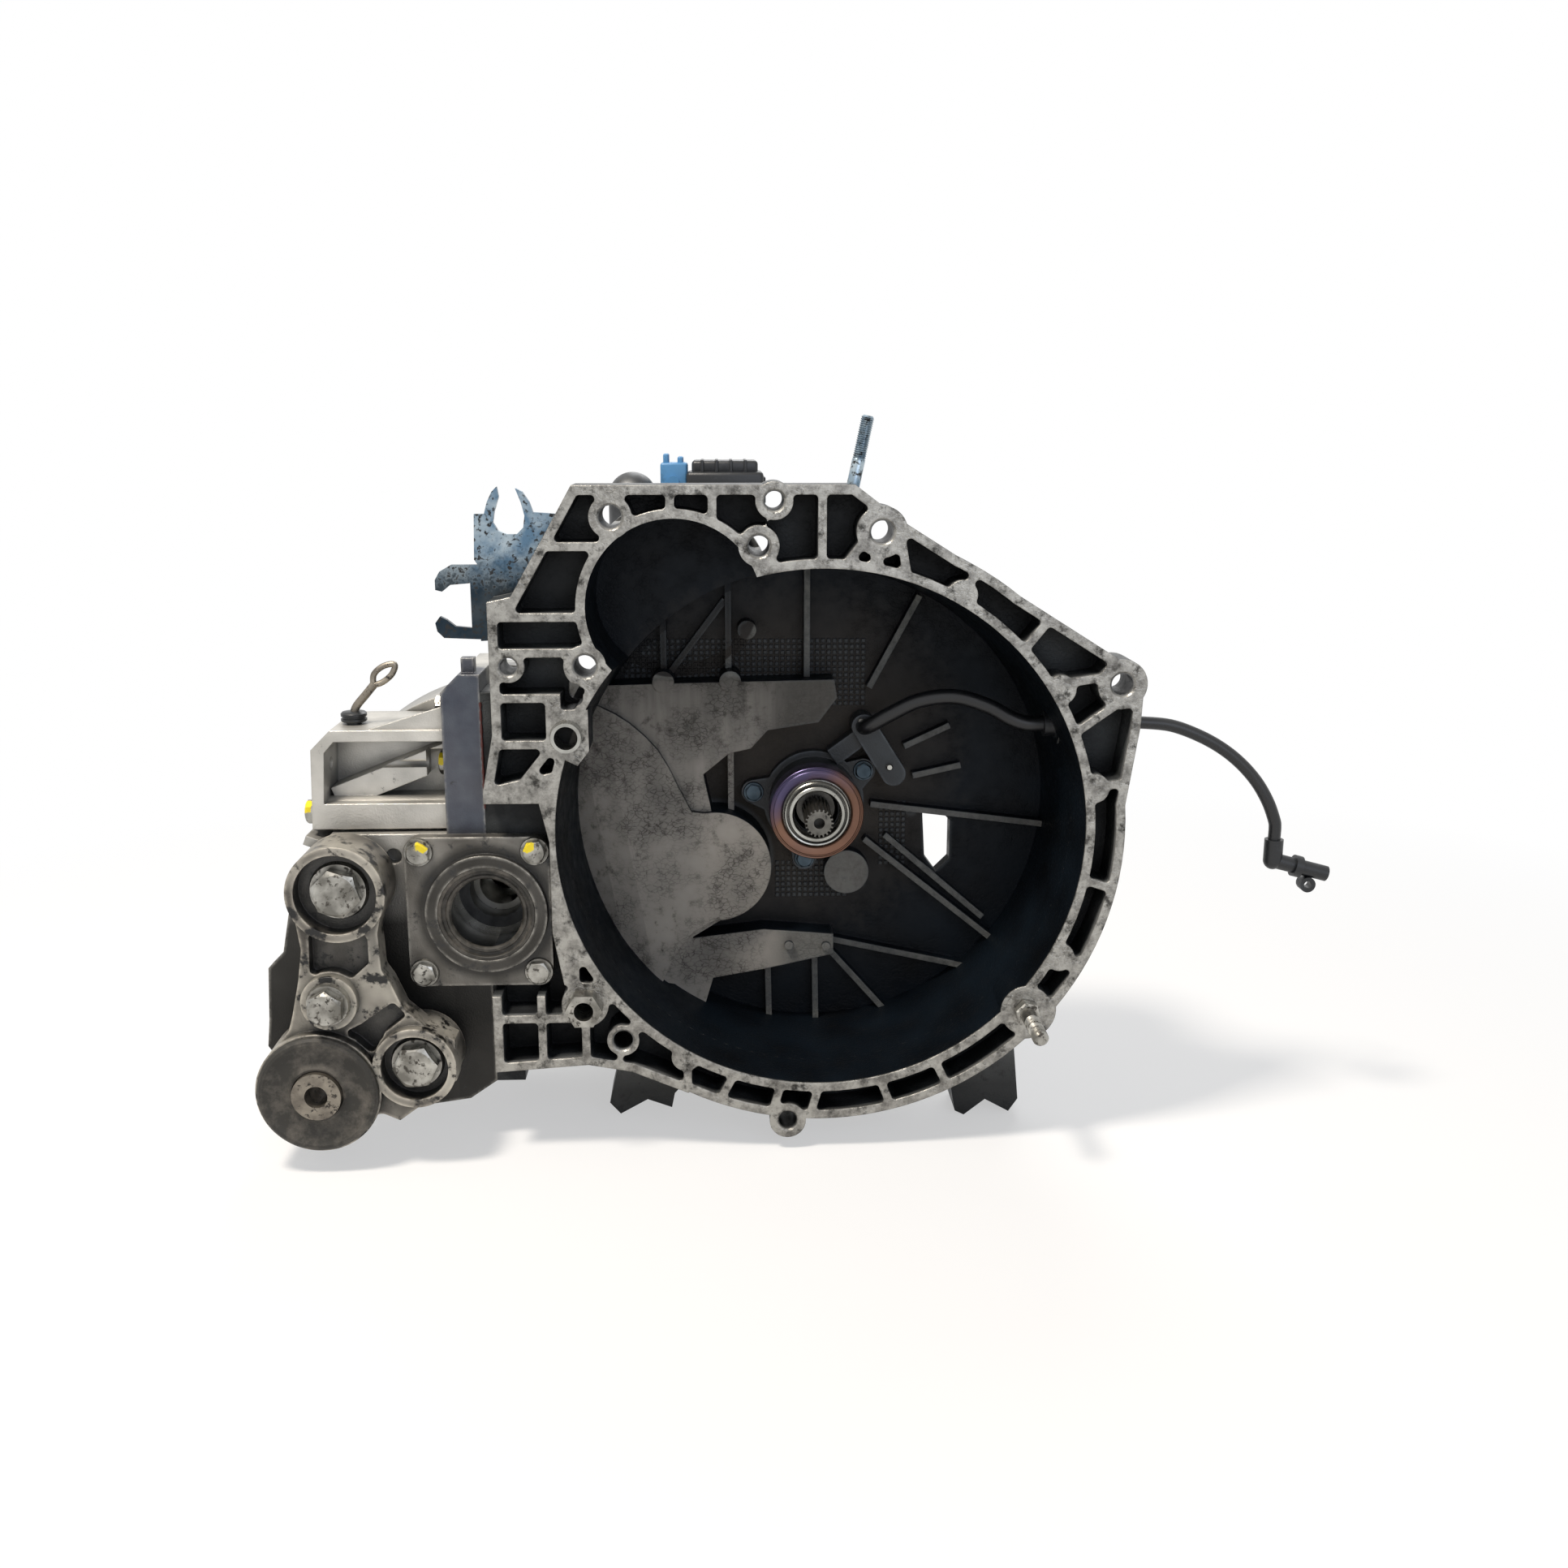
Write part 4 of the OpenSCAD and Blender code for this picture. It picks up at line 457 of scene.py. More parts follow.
@dataclass(frozen=True)
class BellCasting(Finish):
    """The bell's casting: a milled engine face, sooty pockets darkened with painted shade, a mouth dark
    with oil and painted shade and tinted by a painted blue reflection, and a dusty floor.
    """

    def surface(self, g: Graph) -> Socket:
        """Draws each zone of the casting by its place.

        Args:
            g: The material's graph.

        Returns:
            The finish's shader.
        """
        on = BellPlaces(g)
        cracked = self.cracks(g, on)
        colour = self.pockets(g, on)
        zones = (
            (on.mouth, self.oil_and_shade(g, on)),
            (on.dry, self.dust(g, on, cracked)),
            (on.face, self.milled(g, on)),
        )
        for share, zone in zones:
            colour = g.add("ShaderNodeMix", {0: share, 6: colour, 7: zone}, **MIX)
        rough = g.add("ShaderNodeMapRange", [on.blot, 0.3, 0.7, 0.3, 0.55])
        for share, rougher in ((on.dry, 0.62), (on.face, 0.36)):
            rough = g.add("ShaderNodeMix", {0: share, 2: rough, 3: rougher})
        metal = g.add("ShaderNodeMath", [on.face, 0.85], **TIMES)
        grain = g.add("ShaderNodeTexNoise", {"Vector": on.at, "Scale": 1 / 0.0012, "Detail": 2.0})
        height = g.add("ShaderNodeMath", [grain, cracked], operation="SUBTRACT")
        soft = g.add("ShaderNodeBevel", {"Radius": 0.0012}, samples=4)
        soft = g.add("ShaderNodeMix", {0: on.whole, 4: on.normal, 5: soft}, 1, data_type="VECTOR")
        relief = {"Strength": 0.4, "Distance": 0.0004, "Height": height, "Normal": soft}
        bump = g.add("ShaderNodeBump", relief)
        looks = {"Base Color": colour, "Roughness": rough, "Metallic": metal, "Normal": bump}
        return g.add("ShaderNodeBsdfPrincipled", {**looks, "Specular IOR Level": 0.12})

    def pockets(self, g: Graph, on: BellPlaces) -> Socket:
        """Draws the outside skin, grey and stained, with painted shade in its corners, and the rim's
        pockets, sooty and dark with painted shade.

        Args:
            g: The material's graph.
            on: The places of the casting.

        Returns:
            The colour of skin and soot.
        """
        skin = g.add("ShaderNodeMix", {0: on.tone, 6: srgb("#87898a"), 7: srgb("#6e7070")}, **MIX)
        # Dark flecks, painted shade in the corners and a darker foot go over the skin.
        fleck = g.add("ShaderNodeMapRange", [on.blot, 0.56, 0.66, 0.0, 0.55])
        foot = g.add("ShaderNodeMapRange", [on.rise, -0.185, -0.12, 0.85, 0.0])
        for share, tint in ((fleck, "#3d3c39"), (on.corner_shade_and_deposit, "#1c1c1b"), (foot, "#232322")):
            skin = g.add("ShaderNodeMix", {0: share, 6: skin, 7: srgb(tint)}, **MIX)
        # The pockets are near black, and blacker still with painted shade in their corners.
        pale = g.add("ShaderNodeMapRange", [on.stain, 0.48, 0.68])
        black = g.add("ShaderNodeMix", {0: pale, 6: srgb("#111315"), 7: srgb("#4c4f50")}, **MIX)
        black = g.add("ShaderNodeMix", {0: on.corner_shade_and_deposit, 6: black, 7: srgb("#08090a")}, **MIX)
        # Faces from 0.6 mm to 5 mm behind the engine face darken to the pockets' colour, down to 29 mm
        # deep: sooty deposits and painted shade in the recesses.
        soot_and_shade = g.add("ShaderNodeMapRange", [on.depth, 0.0006, 0.005])
        front = g.add("ShaderNodeMapRange", [on.depth, 0.0265, 0.029, 1.0, 0.0])
        for share in (front, 0.93):
            soot_and_shade = g.add("ShaderNodeMath", [soot_and_shade, share], **TIMES)
        return g.add("ShaderNodeMix", {0: soot_and_shade, 6: skin, 7: black}, **MIX)

    def oil_and_shade(self, g: Graph, on: BellPlaces) -> Socket:
        """Draws the mouth: blue-black oil with painted shade and a painted blue sky reflection, dry
        dust round the input shaft and paler rib tops with a painted highlight.

        Args:
            g: The material's graph.
            on: The places of the casting.

        Returns:
            The colour of the mouth.
        """
        # The mouth's blue-black is oil, darker with painted shade and tinted blue by a painted sky
        # reflection.
        oil_and_shade = g.add("ShaderNodeMix", {0: on.tone, 6: srgb("#0f161d"), 7: srgb("#05070a")}, **MIX)
        shaft = round_axis(g, on.at, (-25, 25))
        spread = g.add("ShaderNodeMath", [on.blot, 0.07, shaft], **PLUS)
        settled = g.add("ShaderNodeMapRange", [spread, 0.1, 0.165, 0.8, 0.0])
        for share in (on.toward, on.in_bell):
            settled = g.add("ShaderNodeMath", [settled, share], **TIMES)
        brown = g.add("ShaderNodeMix", {0: on.blot, 6: srgb("#1d1a18"), 7: srgb("#4d4740")}, **MIX)
        oil_and_shade = g.add("ShaderNodeMix", {0: settled, 6: oil_and_shade, 7: brown}, **MIX)
        # The raised floor's dark end, right of the dust, and the starter's pocket keep the mouth's dark
        # colour, without the painted highlight on rib tops.
        end = g.add("ShaderNodeMapRange", [on.rise, 0.03, 0.045, 0.0, 0.65])
        short = g.add("ShaderNodeMapRange", [on.across, 0.024, 0.03, 1.0, 0.0])
        for share in (short, on.below):
            end = g.add("ShaderNodeMath", [end, share], **TIMES)
        end = g.add("ShaderNodeMath", [end, on.in_start], operation="MAXIMUM")
        rest = g.add("ShaderNodeMath", [1.0, end], operation="SUBTRACT")
        # Faces that look toward the engine and stand about 3 mm or more proud of the floor, the rib
        # tops, get a painted highlight in patches.
        patchy = g.add("ShaderNodeMapRange", [on.blot, 0.35, 0.6, 0.25, 0.85])
        rib_top_highlight = g.add("ShaderNodeMapRange", [on.depth, 0.0945, 0.0972, 1.0, 0.0])
        for share in (on.toward, on.in_bell, patchy, rest):
            rib_top_highlight = g.add("ShaderNodeMath", [rib_top_highlight, share], **TIMES)
        oil_and_shade = g.add("ShaderNodeMix", {0: rib_top_highlight, 6: oil_and_shade, 7: srgb("#6b6c69")}, **MIX)
        # The mouth's edges, about 3 mm wide, are paler: partly wear, partly a painted highlight.
        edge = g.add("ShaderNodeAmbientOcclusion", {"Distance": 0.003}, **EDGES)
        edge_band = g.add("ShaderNodeMapRange", [edge, 0.5, 0.85, 0.45, 0.0])
        edge_band = g.add("ShaderNodeMath", [edge_band, on.whole], **TIMES)
        return g.add("ShaderNodeMix", {0: edge_band, 6: oil_and_shade, 7: srgb("#565b5e")}, **MIX)

    def cracks(self, g: Graph, on: BellPlaces) -> Socket:
        """Draws the cracks between the flat flakes of the dust, each about 4 mm wide.

        Args:
            g: The material's graph.
            on: The places of the casting.

        Returns:
            How much of a crack a point is.
        """
        noise = {"Vector": on.at, "Scale": 1 / 0.008, "Detail": 3.0}
        drift = g.add("ShaderNodeTexNoise", noise, "Color")
        bent = g.add("ShaderNodeVectorMath", [drift, (0.006, 0.006, 0.006), on.at], **PLUS)
        flake = g.add("ShaderNodeVectorMath", [bent, (0.75, 1.0, 1.25)], **TIMES)
        cell = {"Vector": flake, "Scale": 1 / 0.0032}
        crack = g.add("ShaderNodeTexVoronoi", cell, "Distance", feature="DISTANCE_TO_EDGE")
        line = g.add("ShaderNodeMapRange", [crack, 0.0, 0.1, 0.95, 0.0])
        where = g.add("ShaderNodeMapRange", [on.stain, 0.38, 0.56])
        broken = g.add("ShaderNodeMapRange", [on.blot, 0.4, 0.56, 0.15, 1.0])
        for share in (where, broken):
            line = g.add("ShaderNodeMath", [line, share], **TIMES)
        return line

    def dust(self, g: Graph, on: BellPlaces, cracked: Socket) -> Socket:
        """Draws the dust on the raised floor, with oil in its cracks and in streaks from its top.

        Args:
            g: The material's graph.
            on: The places of the casting.
            cracked: How much of a crack a point is.

        Returns:
            The colour of the dust.
        """
        dust = g.add("ShaderNodeMix", {0: on.tone, 6: srgb("#9a968f"), 7: srgb("#6d6b67")}, **MIX)
        # The streaks are about 9 mm wide.
        upright = g.add("ShaderNodeVectorMath", [on.at, (1.0, 0.0, 0.12)], **TIMES)
        noise = {"Vector": upright, "Scale": 1 / 0.009, "Detail": 4.0, "Roughness": 0.6}
        streak = g.add("ShaderNodeTexNoise", noise)
        run = g.add("ShaderNodeMath", [streak, 0.09, on.rise], **PLUS)
        ran = g.add("ShaderNodeMapRange", [run, 0.05, 0.14, 0.0, 0.75])
        dust = g.add("ShaderNodeMix", {0: ran, 6: dust, 7: srgb("#3a3937")}, **MIX)
        spots = g.add("ShaderNodeMapRange", [on.blot, 0.56, 0.72])
        marks = g.add("ShaderNodeMath", [cracked, spots], operation="MAXIMUM")
        most = g.add("ShaderNodeMath", [marks, 0.85], **TIMES)
        return g.add("ShaderNodeMix", {0: most, 6: dust, 7: srgb("#24211e")}, **MIX)

    def milled(self, g: Graph, on: BellPlaces) -> Socket:
        """Draws the milled face: bright, with dull patches and dark nicks.

        Args:
            g: The material's graph.
            on: The places of the casting.

        Returns:
            The colour of the face.
        """
        noise = {"Vector": on.at, "Scale": 1 / 0.012, "Detail": 8.0, "Roughness": 0.75}
        patch = g.add("ShaderNodeMapRange", [g.add("ShaderNodeTexNoise", noise), 0.42, 0.62])
        sheen = g.add("ShaderNodeMix", {0: patch, 6: srgb("#a6a49e"), 7: srgb("#6a6864")}, **MIX)
        nick = g.add("ShaderNodeMapRange", [on.blot, 0.53, 0.64, 0.0, 0.88])
        return g.add("ShaderNodeMix", {0: nick, 6: sheen, 7: srgb("#2b2a28")}, **MIX)


@dataclass(frozen=True)
class Steel(Finish):
    """Steel that was turned, ground or plated, with a thin coat of oil and dark freckles."""

    bright: str = "#b9b7b0"
    dull: str = "#8b8982"
    spot: str = "#3a3630"
    spots: float = 0.3
    rough: float = 0.32
    oiled: float = 0.35
    dabs: tuple[Point, ...] = ()

    def surface(self, g: Graph) -> Socket:
        """Draws the metal, its freckles, oil and painted shade in its corners, and any dabs of marking
        paint.

        Args:
            g: The material's graph.

        Returns:
            The finish's shader.
        """
        at = g.add("ShaderNodeTexCoord", out="Object")
        # Stains 12 mm wide and flecks 3.5 mm wide.
        stain = g.add("ShaderNodeTexNoise", {"Vector": at, "Scale": 1 / 0.012, "Detail": 4.0})
        noise = {"Vector": at, "Scale": 1 / 0.0035, "Detail": 4.0, "Roughness": 0.65}
        fleck = g.add("ShaderNodeTexNoise", noise)
        tone = g.add("ShaderNodeMapRange", [stain, 0.35, 0.65])
        skin = g.add("ShaderNodeMix", {0: tone, 6: srgb(self.bright), 7: srgb(self.dull)}, **MIX)
        skin = self.zone(g, at, skin, fleck)
        clean = 0.74 - 0.24 * self.spots
        freckles = g.add("ShaderNodeMapRange", [fleck, clean, clean + 0.08])
        # Oil and painted shade darken the corners, up to 6 mm in, as much as the oiled share says.
        corner = g.add("ShaderNodeAmbientOcclusion", {"Distance": 0.006}, **CORNERS)
        corner_shade_and_deposit = g.add("ShaderNodeMapRange", [corner, 0.3, 0.8, self.oiled, 0.0])
        marks = g.add("ShaderNodeMath", [freckles, corner_shade_and_deposit], operation="MAXIMUM")
        colour = g.add("ShaderNodeMix", {0: marks, 6: skin, 7: srgb(self.spot)}, **MIX)
        metal = g.add("ShaderNodeMapRange", [marks, 0.0, 1.0, 1.0, 0.2])
        rough = g.add("ShaderNodeMapRange", [stain, 0.0, 1.0, self.rough - 0.08, self.rough + 0.14])
        for dab in self.dabs:
            ends = [at, tuple(place(*dab))]
            far = g.add("ShaderNodeVectorMath", ends, "Value", operation="DISTANCE")
            ragged = g.add("ShaderNodeMath", [fleck, 0.006, far], **PLUS)
            paint = g.add("ShaderNodeMapRange", [ragged, 0.0072, 0.0078, 1.0, 0.0])
            colour = g.add("ShaderNodeMix", {0: paint, 6: colour, 7: srgb("#e6cf1c")}, **MIX)
            bare = g.add("ShaderNodeMath", [1.0, paint], operation="SUBTRACT")
            metal = g.add("ShaderNodeMath", [metal, bare], **TIMES)
        bump = g.add("ShaderNodeBump", {"Strength": 0.2, "Distance": 0.0002, "Height": fleck})
        looks = {"Base Color": colour, "Roughness": rough, "Metallic": metal, "Normal": bump}
        return g.add("ShaderNodeBsdfPrincipled", looks)

    def zone(self, g: Graph, at: Socket, skin: Socket, fleck: Socket) -> Socket:
        """Changes the metal's colour by its place, before any freckles.

        Args:
            g: The material's graph.
            at: The place on the piece.
            skin: The colour all over.
            fleck: The fine noise, for ragged edges.

        Returns:
            The colour by place, here the same all over.
        """
        return skin


@dataclass(frozen=True)
class ZincSheet(Steel):
    """Zinc-plated sheet whose lower part is black with oil."""

    def zone(self, g: Graph, at: Socket, skin: Socket, fleck: Socket) -> Socket:
        """Lays the oil over the lower part.

        Args:
            g: The material's graph.
            at: The place on the piece.
            skin: The colour without the oil.
            fleck: The fine noise that breaks up the oil's edge.

        Returns:
            The colour with the oil.
        """
        rise = g.add("ShaderNodeSeparateXYZ", [at], "Z")
        ragged = g.add("ShaderNodeMath", [fleck, 0.05, rise], **PLUS)
        oiled = g.add("ShaderNodeMapRange", [ragged, 0.172, 0.196, 0.9, 0.0])
        return g.add("ShaderNodeMix", {0: oiled, 6: skin, 7: srgb("#1a2127")}, **MIX)


@dataclass(frozen=True)
class HeatTint(Finish):
    """Bearing steel run hot: copper brown, with a violet-blue bloom toward the top."""

    # Turning marks are drawn coarser than real ones, so that they show.
    mark_mm: float = 0.7

    def surface(self, g: Graph) -> Socket:
        """Draws turned rings and the bloom over them.

        Args:
            g: The material's graph.

        Returns:
            The finish's shader.
        """
        at = g.add("ShaderNodeTexCoord", out="Object")
        upward = [at, (-0.5, 0.0, 0.87)]
        rise = g.add("ShaderNodeVectorMath", upward, "Value", operation="DOT_PRODUCT")
        wander = g.add("ShaderNodeTexNoise", {"Vector": at, "Scale": 1 / 0.02, "Detail": 3.0})
        strayed = g.add("ShaderNodeMath", [wander, 0.03, rise], **PLUS)
        bloom = g.add("ShaderNodeMapRange", [strayed, 0.018, 0.042])
        copper = g.add("ShaderNodeMix", {0: wander, 6: srgb("#82614f"), 7: srgb("#58423a")}, **MIX)
        colour = g.add("ShaderNodeMix", {0: bloom, 6: copper, 7: srgb("#524c68")}, **MIX)
        reach = round_axis(g, at, (0.0, 0.0))
        turn = g.add("ShaderNodeMath", [reach, math.tau / mm(self.mark_mm)], **TIMES)
        turn = g.add("ShaderNodeMath", [turn], operation="SINE")
        bump = g.add("ShaderNodeBump", {"Strength": 0.25, "Distance": 0.0001, "Height": turn})
        looks = {"Base Color": colour, "Roughness": 0.3, "Metallic": 0.9, "Normal": bump}
        return g.add("ShaderNodeBsdfPrincipled", looks)


@dataclass(frozen=True)
class Moulded(Finish):
    """Moulded rubber or plastic: a nearly black skin, grey with dust where it is dry."""

    dark: str = "#17181a"
    dust: str = "#4a4844"
    dusty: float = 0.4
    rough: float = 0.5
    grain_mm: float = 0.9

    def surface(self, g: Graph) -> Socket:
        """Draws the skin, its dust and its fine grain.

        Args:
            g: The material's graph.

        Returns:
            The finish's shader.
        """
        at = g.add("ShaderNodeTexCoord", out="Object")
        noise = {"Vector": at, "Scale": 1 / 0.018, "Detail": 6.0, "Roughness": 0.7}
        cloud = g.add("ShaderNodeTexNoise", noise)
        noise = {"Vector": at, "Scale": 1 / mm(self.grain_mm), "Detail": 2.0}
        grain = g.add("ShaderNodeTexNoise", noise)
        clean = 0.7 - 0.4 * self.dusty
        dry = g.add("ShaderNodeMapRange", [cloud, clean, clean + 0.2])
        colour = g.add("ShaderNodeMix", {0: dry, 6: srgb(self.dark), 7: srgb(self.dust)}, **MIX)
        dull = min(0.9, self.rough + 0.25)
        rough = g.add("ShaderNodeMapRange", [dry, 0.0, 1.0, self.rough, dull])
        bump = g.add("ShaderNodeBump", {"Strength": 0.3, "Distance": 0.0002, "Height": grain})
        looks = {"Base Color": colour, "Roughness": rough, "IOR": 1.5, "Normal": bump}
        return g.add("ShaderNodeBsdfPrincipled", looks)


class Coat(Enum):
    """The finishes of this gearbox."""

    BELL = BellCasting("bell_cast_aluminium")
    CASE = CastAluminium("stained_cast_aluminium", pale="#9c9c99", deep="#6c6c6a", dirt_and_shade=0.6)
    # The side housing is a paler copy of the cast aluminium, lighter with painted sunlight.
    SIDE = SideCasting(
        "pale_lit_cast_aluminium", pale="#d2cfc8", deep="#aaa8a2", dirt_and_shade=0.34, rough=0.42
    )
    PLATE = OutputPlate("greasy_cast_plate", pale="#85827c", deep="#57544f", dirt_and_shade=0.8, worn=1.0)
    BRACKET = CastAluminium(
        "dark_cast_bracket", pale="#a8a49a", deep="#57534d", grime_and_shade="#0b0a09", dirt_and_shade=1.0,
        rough=0.5, metal=0.4, edge="#d2cbbd", worn=1.0, corner_mm=24,
    )
    SLAVE = CastAluminium(
        "oiled_cast_cylinder", pale="#2c3033", deep="#1a1c1f", grime_and_shade="#090a0b", dirt_and_shade=0.5,
        metal=0.3, edge="#5a6066",
    )
    # Four bolt heads carry a dab of yellow marking paint.
    BOLT = Steel(
        "plated_bolt_steel", dull="#74726c", spots=0.8, oiled=0.8,
        dabs=((-244, 6, -5), (-180, 6, -6), (-319, 38, 13), (-236, 40, 42)),
    )
    GEAR = Steel("ground_gear_steel", bright="#b0afa9", dull="#96958f", spots=0.1, rough=0.28)
    RACE = Steel(
        "polished_bearing_steel", bright="#b2b1ab", dull="#8a8983", spots=0.35, rough=0.24, oiled=0.8
    )
    SPLINE = Steel(
        "oiled_spline_steel", bright="#75736e", dull="#4b4945", spot="#1d1b18", spots=0.5, oiled=0.95
    )
    ZINC = ZincSheet(
        "zinc_plated_sheet", bright="#a9b6bd", dull="#5f7a90", spot="#121416", spots=0.85,
        rough=0.3, oiled=0.9,
    )
    DULL = Steel("blued_bolt_steel", bright="#4b5760", dull="#353f46", spots=0.5, rough=0.4)
    WORN = Steel(
        "rust_freckled_steel", bright="#968f83", dull="#67615a", spot="#231e19", spots=0.75, rough=0.46
    )
    IRON = Steel("machined_cast_iron", bright="#5d5e5f", dull="#454647", spots=0.4, rough=0.45)
    BRONZE = Steel("sleeve_bronze", bright="#b79a5b", dull="#96804c", spots=0.1, rough=0.3)
    TINT = HeatTint("heat_tinted_bearing_steel")
    RUBBER = Moulded("dusty_rubber", dark="#26241f", dust="#5c5852", dusty=0.62, rough=0.6)
    HOSE = Moulded("hose_rubber", dark="#141517", dusty=0.15, rough=0.36)
    PLASTIC = Moulded("moulded_plastic", dark="#15171a", dust="#33363a", dusty=0.3, rough=0.38)
    BLUE = Moulded("blue_clip_plastic", dark="#4f86b4", dust="#274a68", dusty=0.35, rough=0.4)
    SEALANT = Moulded("red_brown_sealant", dark="#4a1f19", dust="#2a1613", dusty=0.5, rough=0.42)


# The CAD nodes that each coat goes on.
FINISHES: dict[Coat, str] = {
    Coat.BELL: "bell_rim bell_housing bell_floor",
    Coat.CASE: "gear_casing end_cover shift_turret",
    Coat.SIDE: "side_housing",
    Coat.PLATE: "output_plate",
    Coat.BRACKET: "torque_bracket",
    Coat.SLAVE: "slave_cylinder",
    Coat.BOLT: "casing_bolts cover_bolts side_bolts output_plate_bolts bracket_bolts slave_bolts "
    "turret_bolts engine_studs hex_fitting",
    Coat.SPLINE: "input_shaft",
    Coat.GEAR: "input_gears output_shaft gear_1 gear_2 gear_3 gear_4 gear_5 "
    "ring_gear cross_pin diff_pinions side_gears shift_rail selector_shaft "
    "hub_12 hub_34 hub_5 fork_12 fork_34 fork_5",
    Coat.RACE: "input_bearings output_bearings diff_bearings release_face dowel_sleeve",
    Coat.WORN: "bush_sleeve",
    Coat.ZINC: "cable_bracket",
    Coat.IRON: "diff_carrier shift_lever",
    Coat.BRONZE: "sleeve_12 sleeve_34 sleeve_5",
    Coat.TINT: "release_bearing",
    Coat.RUBBER: "output_seal bush_rubber",
    Coat.HOSE: "clutch_hose slave_pipe",
    Coat.PLASTIC: "hose_gland hose_elbow lever_cap breather",
}


# Meshes.


def joined(shapes: Sequence[Shape]) -> Shape:
    """Puts several shapes into one.

    Args:
        shapes: The shapes, each as points and faces.

    Returns:
        One shape that holds them all.
    """
    points: list[Vector] = []
    faces: list[list[int]] = []
    for own_points, own_faces in shapes:
        start = len(points)
        points += own_points
        faces += [[start + k for k in face] for face in own_faces]
    return points, faces


def new_piece(
    name: str, shape: Shape, coat: Coat, body: str, smooth: float = 40.0
) -> Piece:
    """Makes a mesh piece that sits at the origin and moves with a body.

    Args:
        name: The piece's name.
        shape: Its points, in metres, and its faces.
        coat: Its finish.
        body: The body that it rides on.
        smooth: The angle in degrees under which an edge is shaded smooth.

    Returns:
        The new object, linked to the scene.
    """
    mesh = bpy.data.meshes.new(name)
    mesh.from_pydata([tuple(p) for p in shape[0]], [], [tuple(f) for f in shape[1]])
    work = bmesh.new()
    work.from_mesh(mesh)
    bmesh.ops.remove_doubles(work, verts=work.verts, dist=WELD)
    bmesh.ops.recalc_face_normals(work, faces=work.faces)
    work.to_mesh(mesh)
    work.free()
    mesh.shade_smooth()
    mesh.set_sharp_from_angle(angle=math.radians(smooth))
    mesh.materials.append(coat.value.material())
    made = linked(name, mesh)
    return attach(made, body)


def smooth_path(route: Sequence[Point], steps: int) -> list[Vector]:
    """Draws a smooth line through the points of a route.

    Args:
        route: Points in millimetres.
        steps: Stretches between two points of the route.

    Returns:
        The line's points, in metres.
    """
    pts = [place(*p) for p in route]
    pts = [2 * pts[0] - pts[1], *pts, 2 * pts[-1] - pts[-2]]
    line = []
    for a, b, c, d in zip(pts, pts[1:], pts[2:], pts[3:]):
        bend = 2 * a - 5 * b + 4 * c - d
        twist = 3 * b - a - 3 * c + d
        for i in range(steps):
            t = i / steps
            line.append(0.5 * (2 * b + (c - a) * t + bend * t * t + twist * t**3))
    return [*line, pts[-2]]


def circle(centre: Vector, radius: float, one: Vector, two: Vector, sides: int) -> list[Vector]:
    """Returns points on a circle, in metres, that starts at one and turns toward two."""
    angles = [k * math.tau / sides for k in range(sides)]
    return [centre + radius * (math.cos(a) * one + math.sin(a) * two) for a in angles]


def axes(heading: Point) -> tuple[Vector, Vector, Vector]:
    """Finds the directions in which a round form is drawn.

    Args:
        heading: The way that the form's axis runs.

    Returns:
        The heading at length one and two directions across it.
    """
    up = Vector(heading).normalized()
    one = up.orthogonal().normalized()
    return up, one, up.cross(one)


def lofted(rings: Sequence[Sequence[Vector]], loop: bool = False) -> Shape:
    """Joins rings of points into a closed skin.

    Args:
        rings: The rings in order, each with as many points as the others.
        loop: Whether the last ring joins the first. Otherwise both ends are closed.

    Returns:
        The skin's points and faces.
    """
    size, count = len(rings[0]), len(rings)
    faces = []
    for i in range(count if loop else count - 1):
        here, there = i * size, (i + 1) % count * size
        for k in range(size):
            j = (k + 1) % size
            faces.append([here + k, here + j, there + j, there + k])
    if not loop:
        faces.append(list(range(size - 1, -1, -1)))
        faces.append([(count - 1) * size + k for k in range(size)])
    return [point for ring in rings for point in ring], faces


def tube(line: Sequence[Vector], radius: float, sides: int, waves: Sequence[float] = ()) -> Shape:
    """Sweeps a round tube with closed ends along a line.

    Args:
        line: The centre line's points, in metres.
        radius: The tube's radius, in millimetres.
        sides: Corners of the tube's section.
        waves: What each point adds to the radius, in millimetres, if it isn't even.

    Returns:
        The tube's points and faces.
    """
    rings = []
    up = (line[1] - line[0]).normalized().orthogonal().normalized()
    for i, centre in enumerate(line):
        along = (line[min(i + 1, len(line) - 1)] - line[max(i - 1, 0)]).normalized()
        up = (up - along * up.dot(along)).normalized()
        wide = radius + waves[i] if waves else radius
        rings.append(circle(centre, mm(wide), up, along.cross(up), sides))
    return lofted(rings)


def turned(
    profile: Sequence[Flat], base: Point, heading: Point = (0, 1, 0), sides: int = 96
) -> Shape:
    """Turns a closed profile round an axis.

    Args:
        profile: Corners as radius and height along the axis, in millimetres, round the section.
        base: The point on the axis from which heights count, in millimetres.
        heading: The axis's direction.
        sides: Steps round the axis.

    Returns:
        The ring's points and faces.
    """
    up, one, two = axes(heading)
    rings = [circle(place(*base) + mm(h) * up, mm(r), one, two, sides) for r, h in profile]
    return lofted(list(zip(*rings)), loop=True)


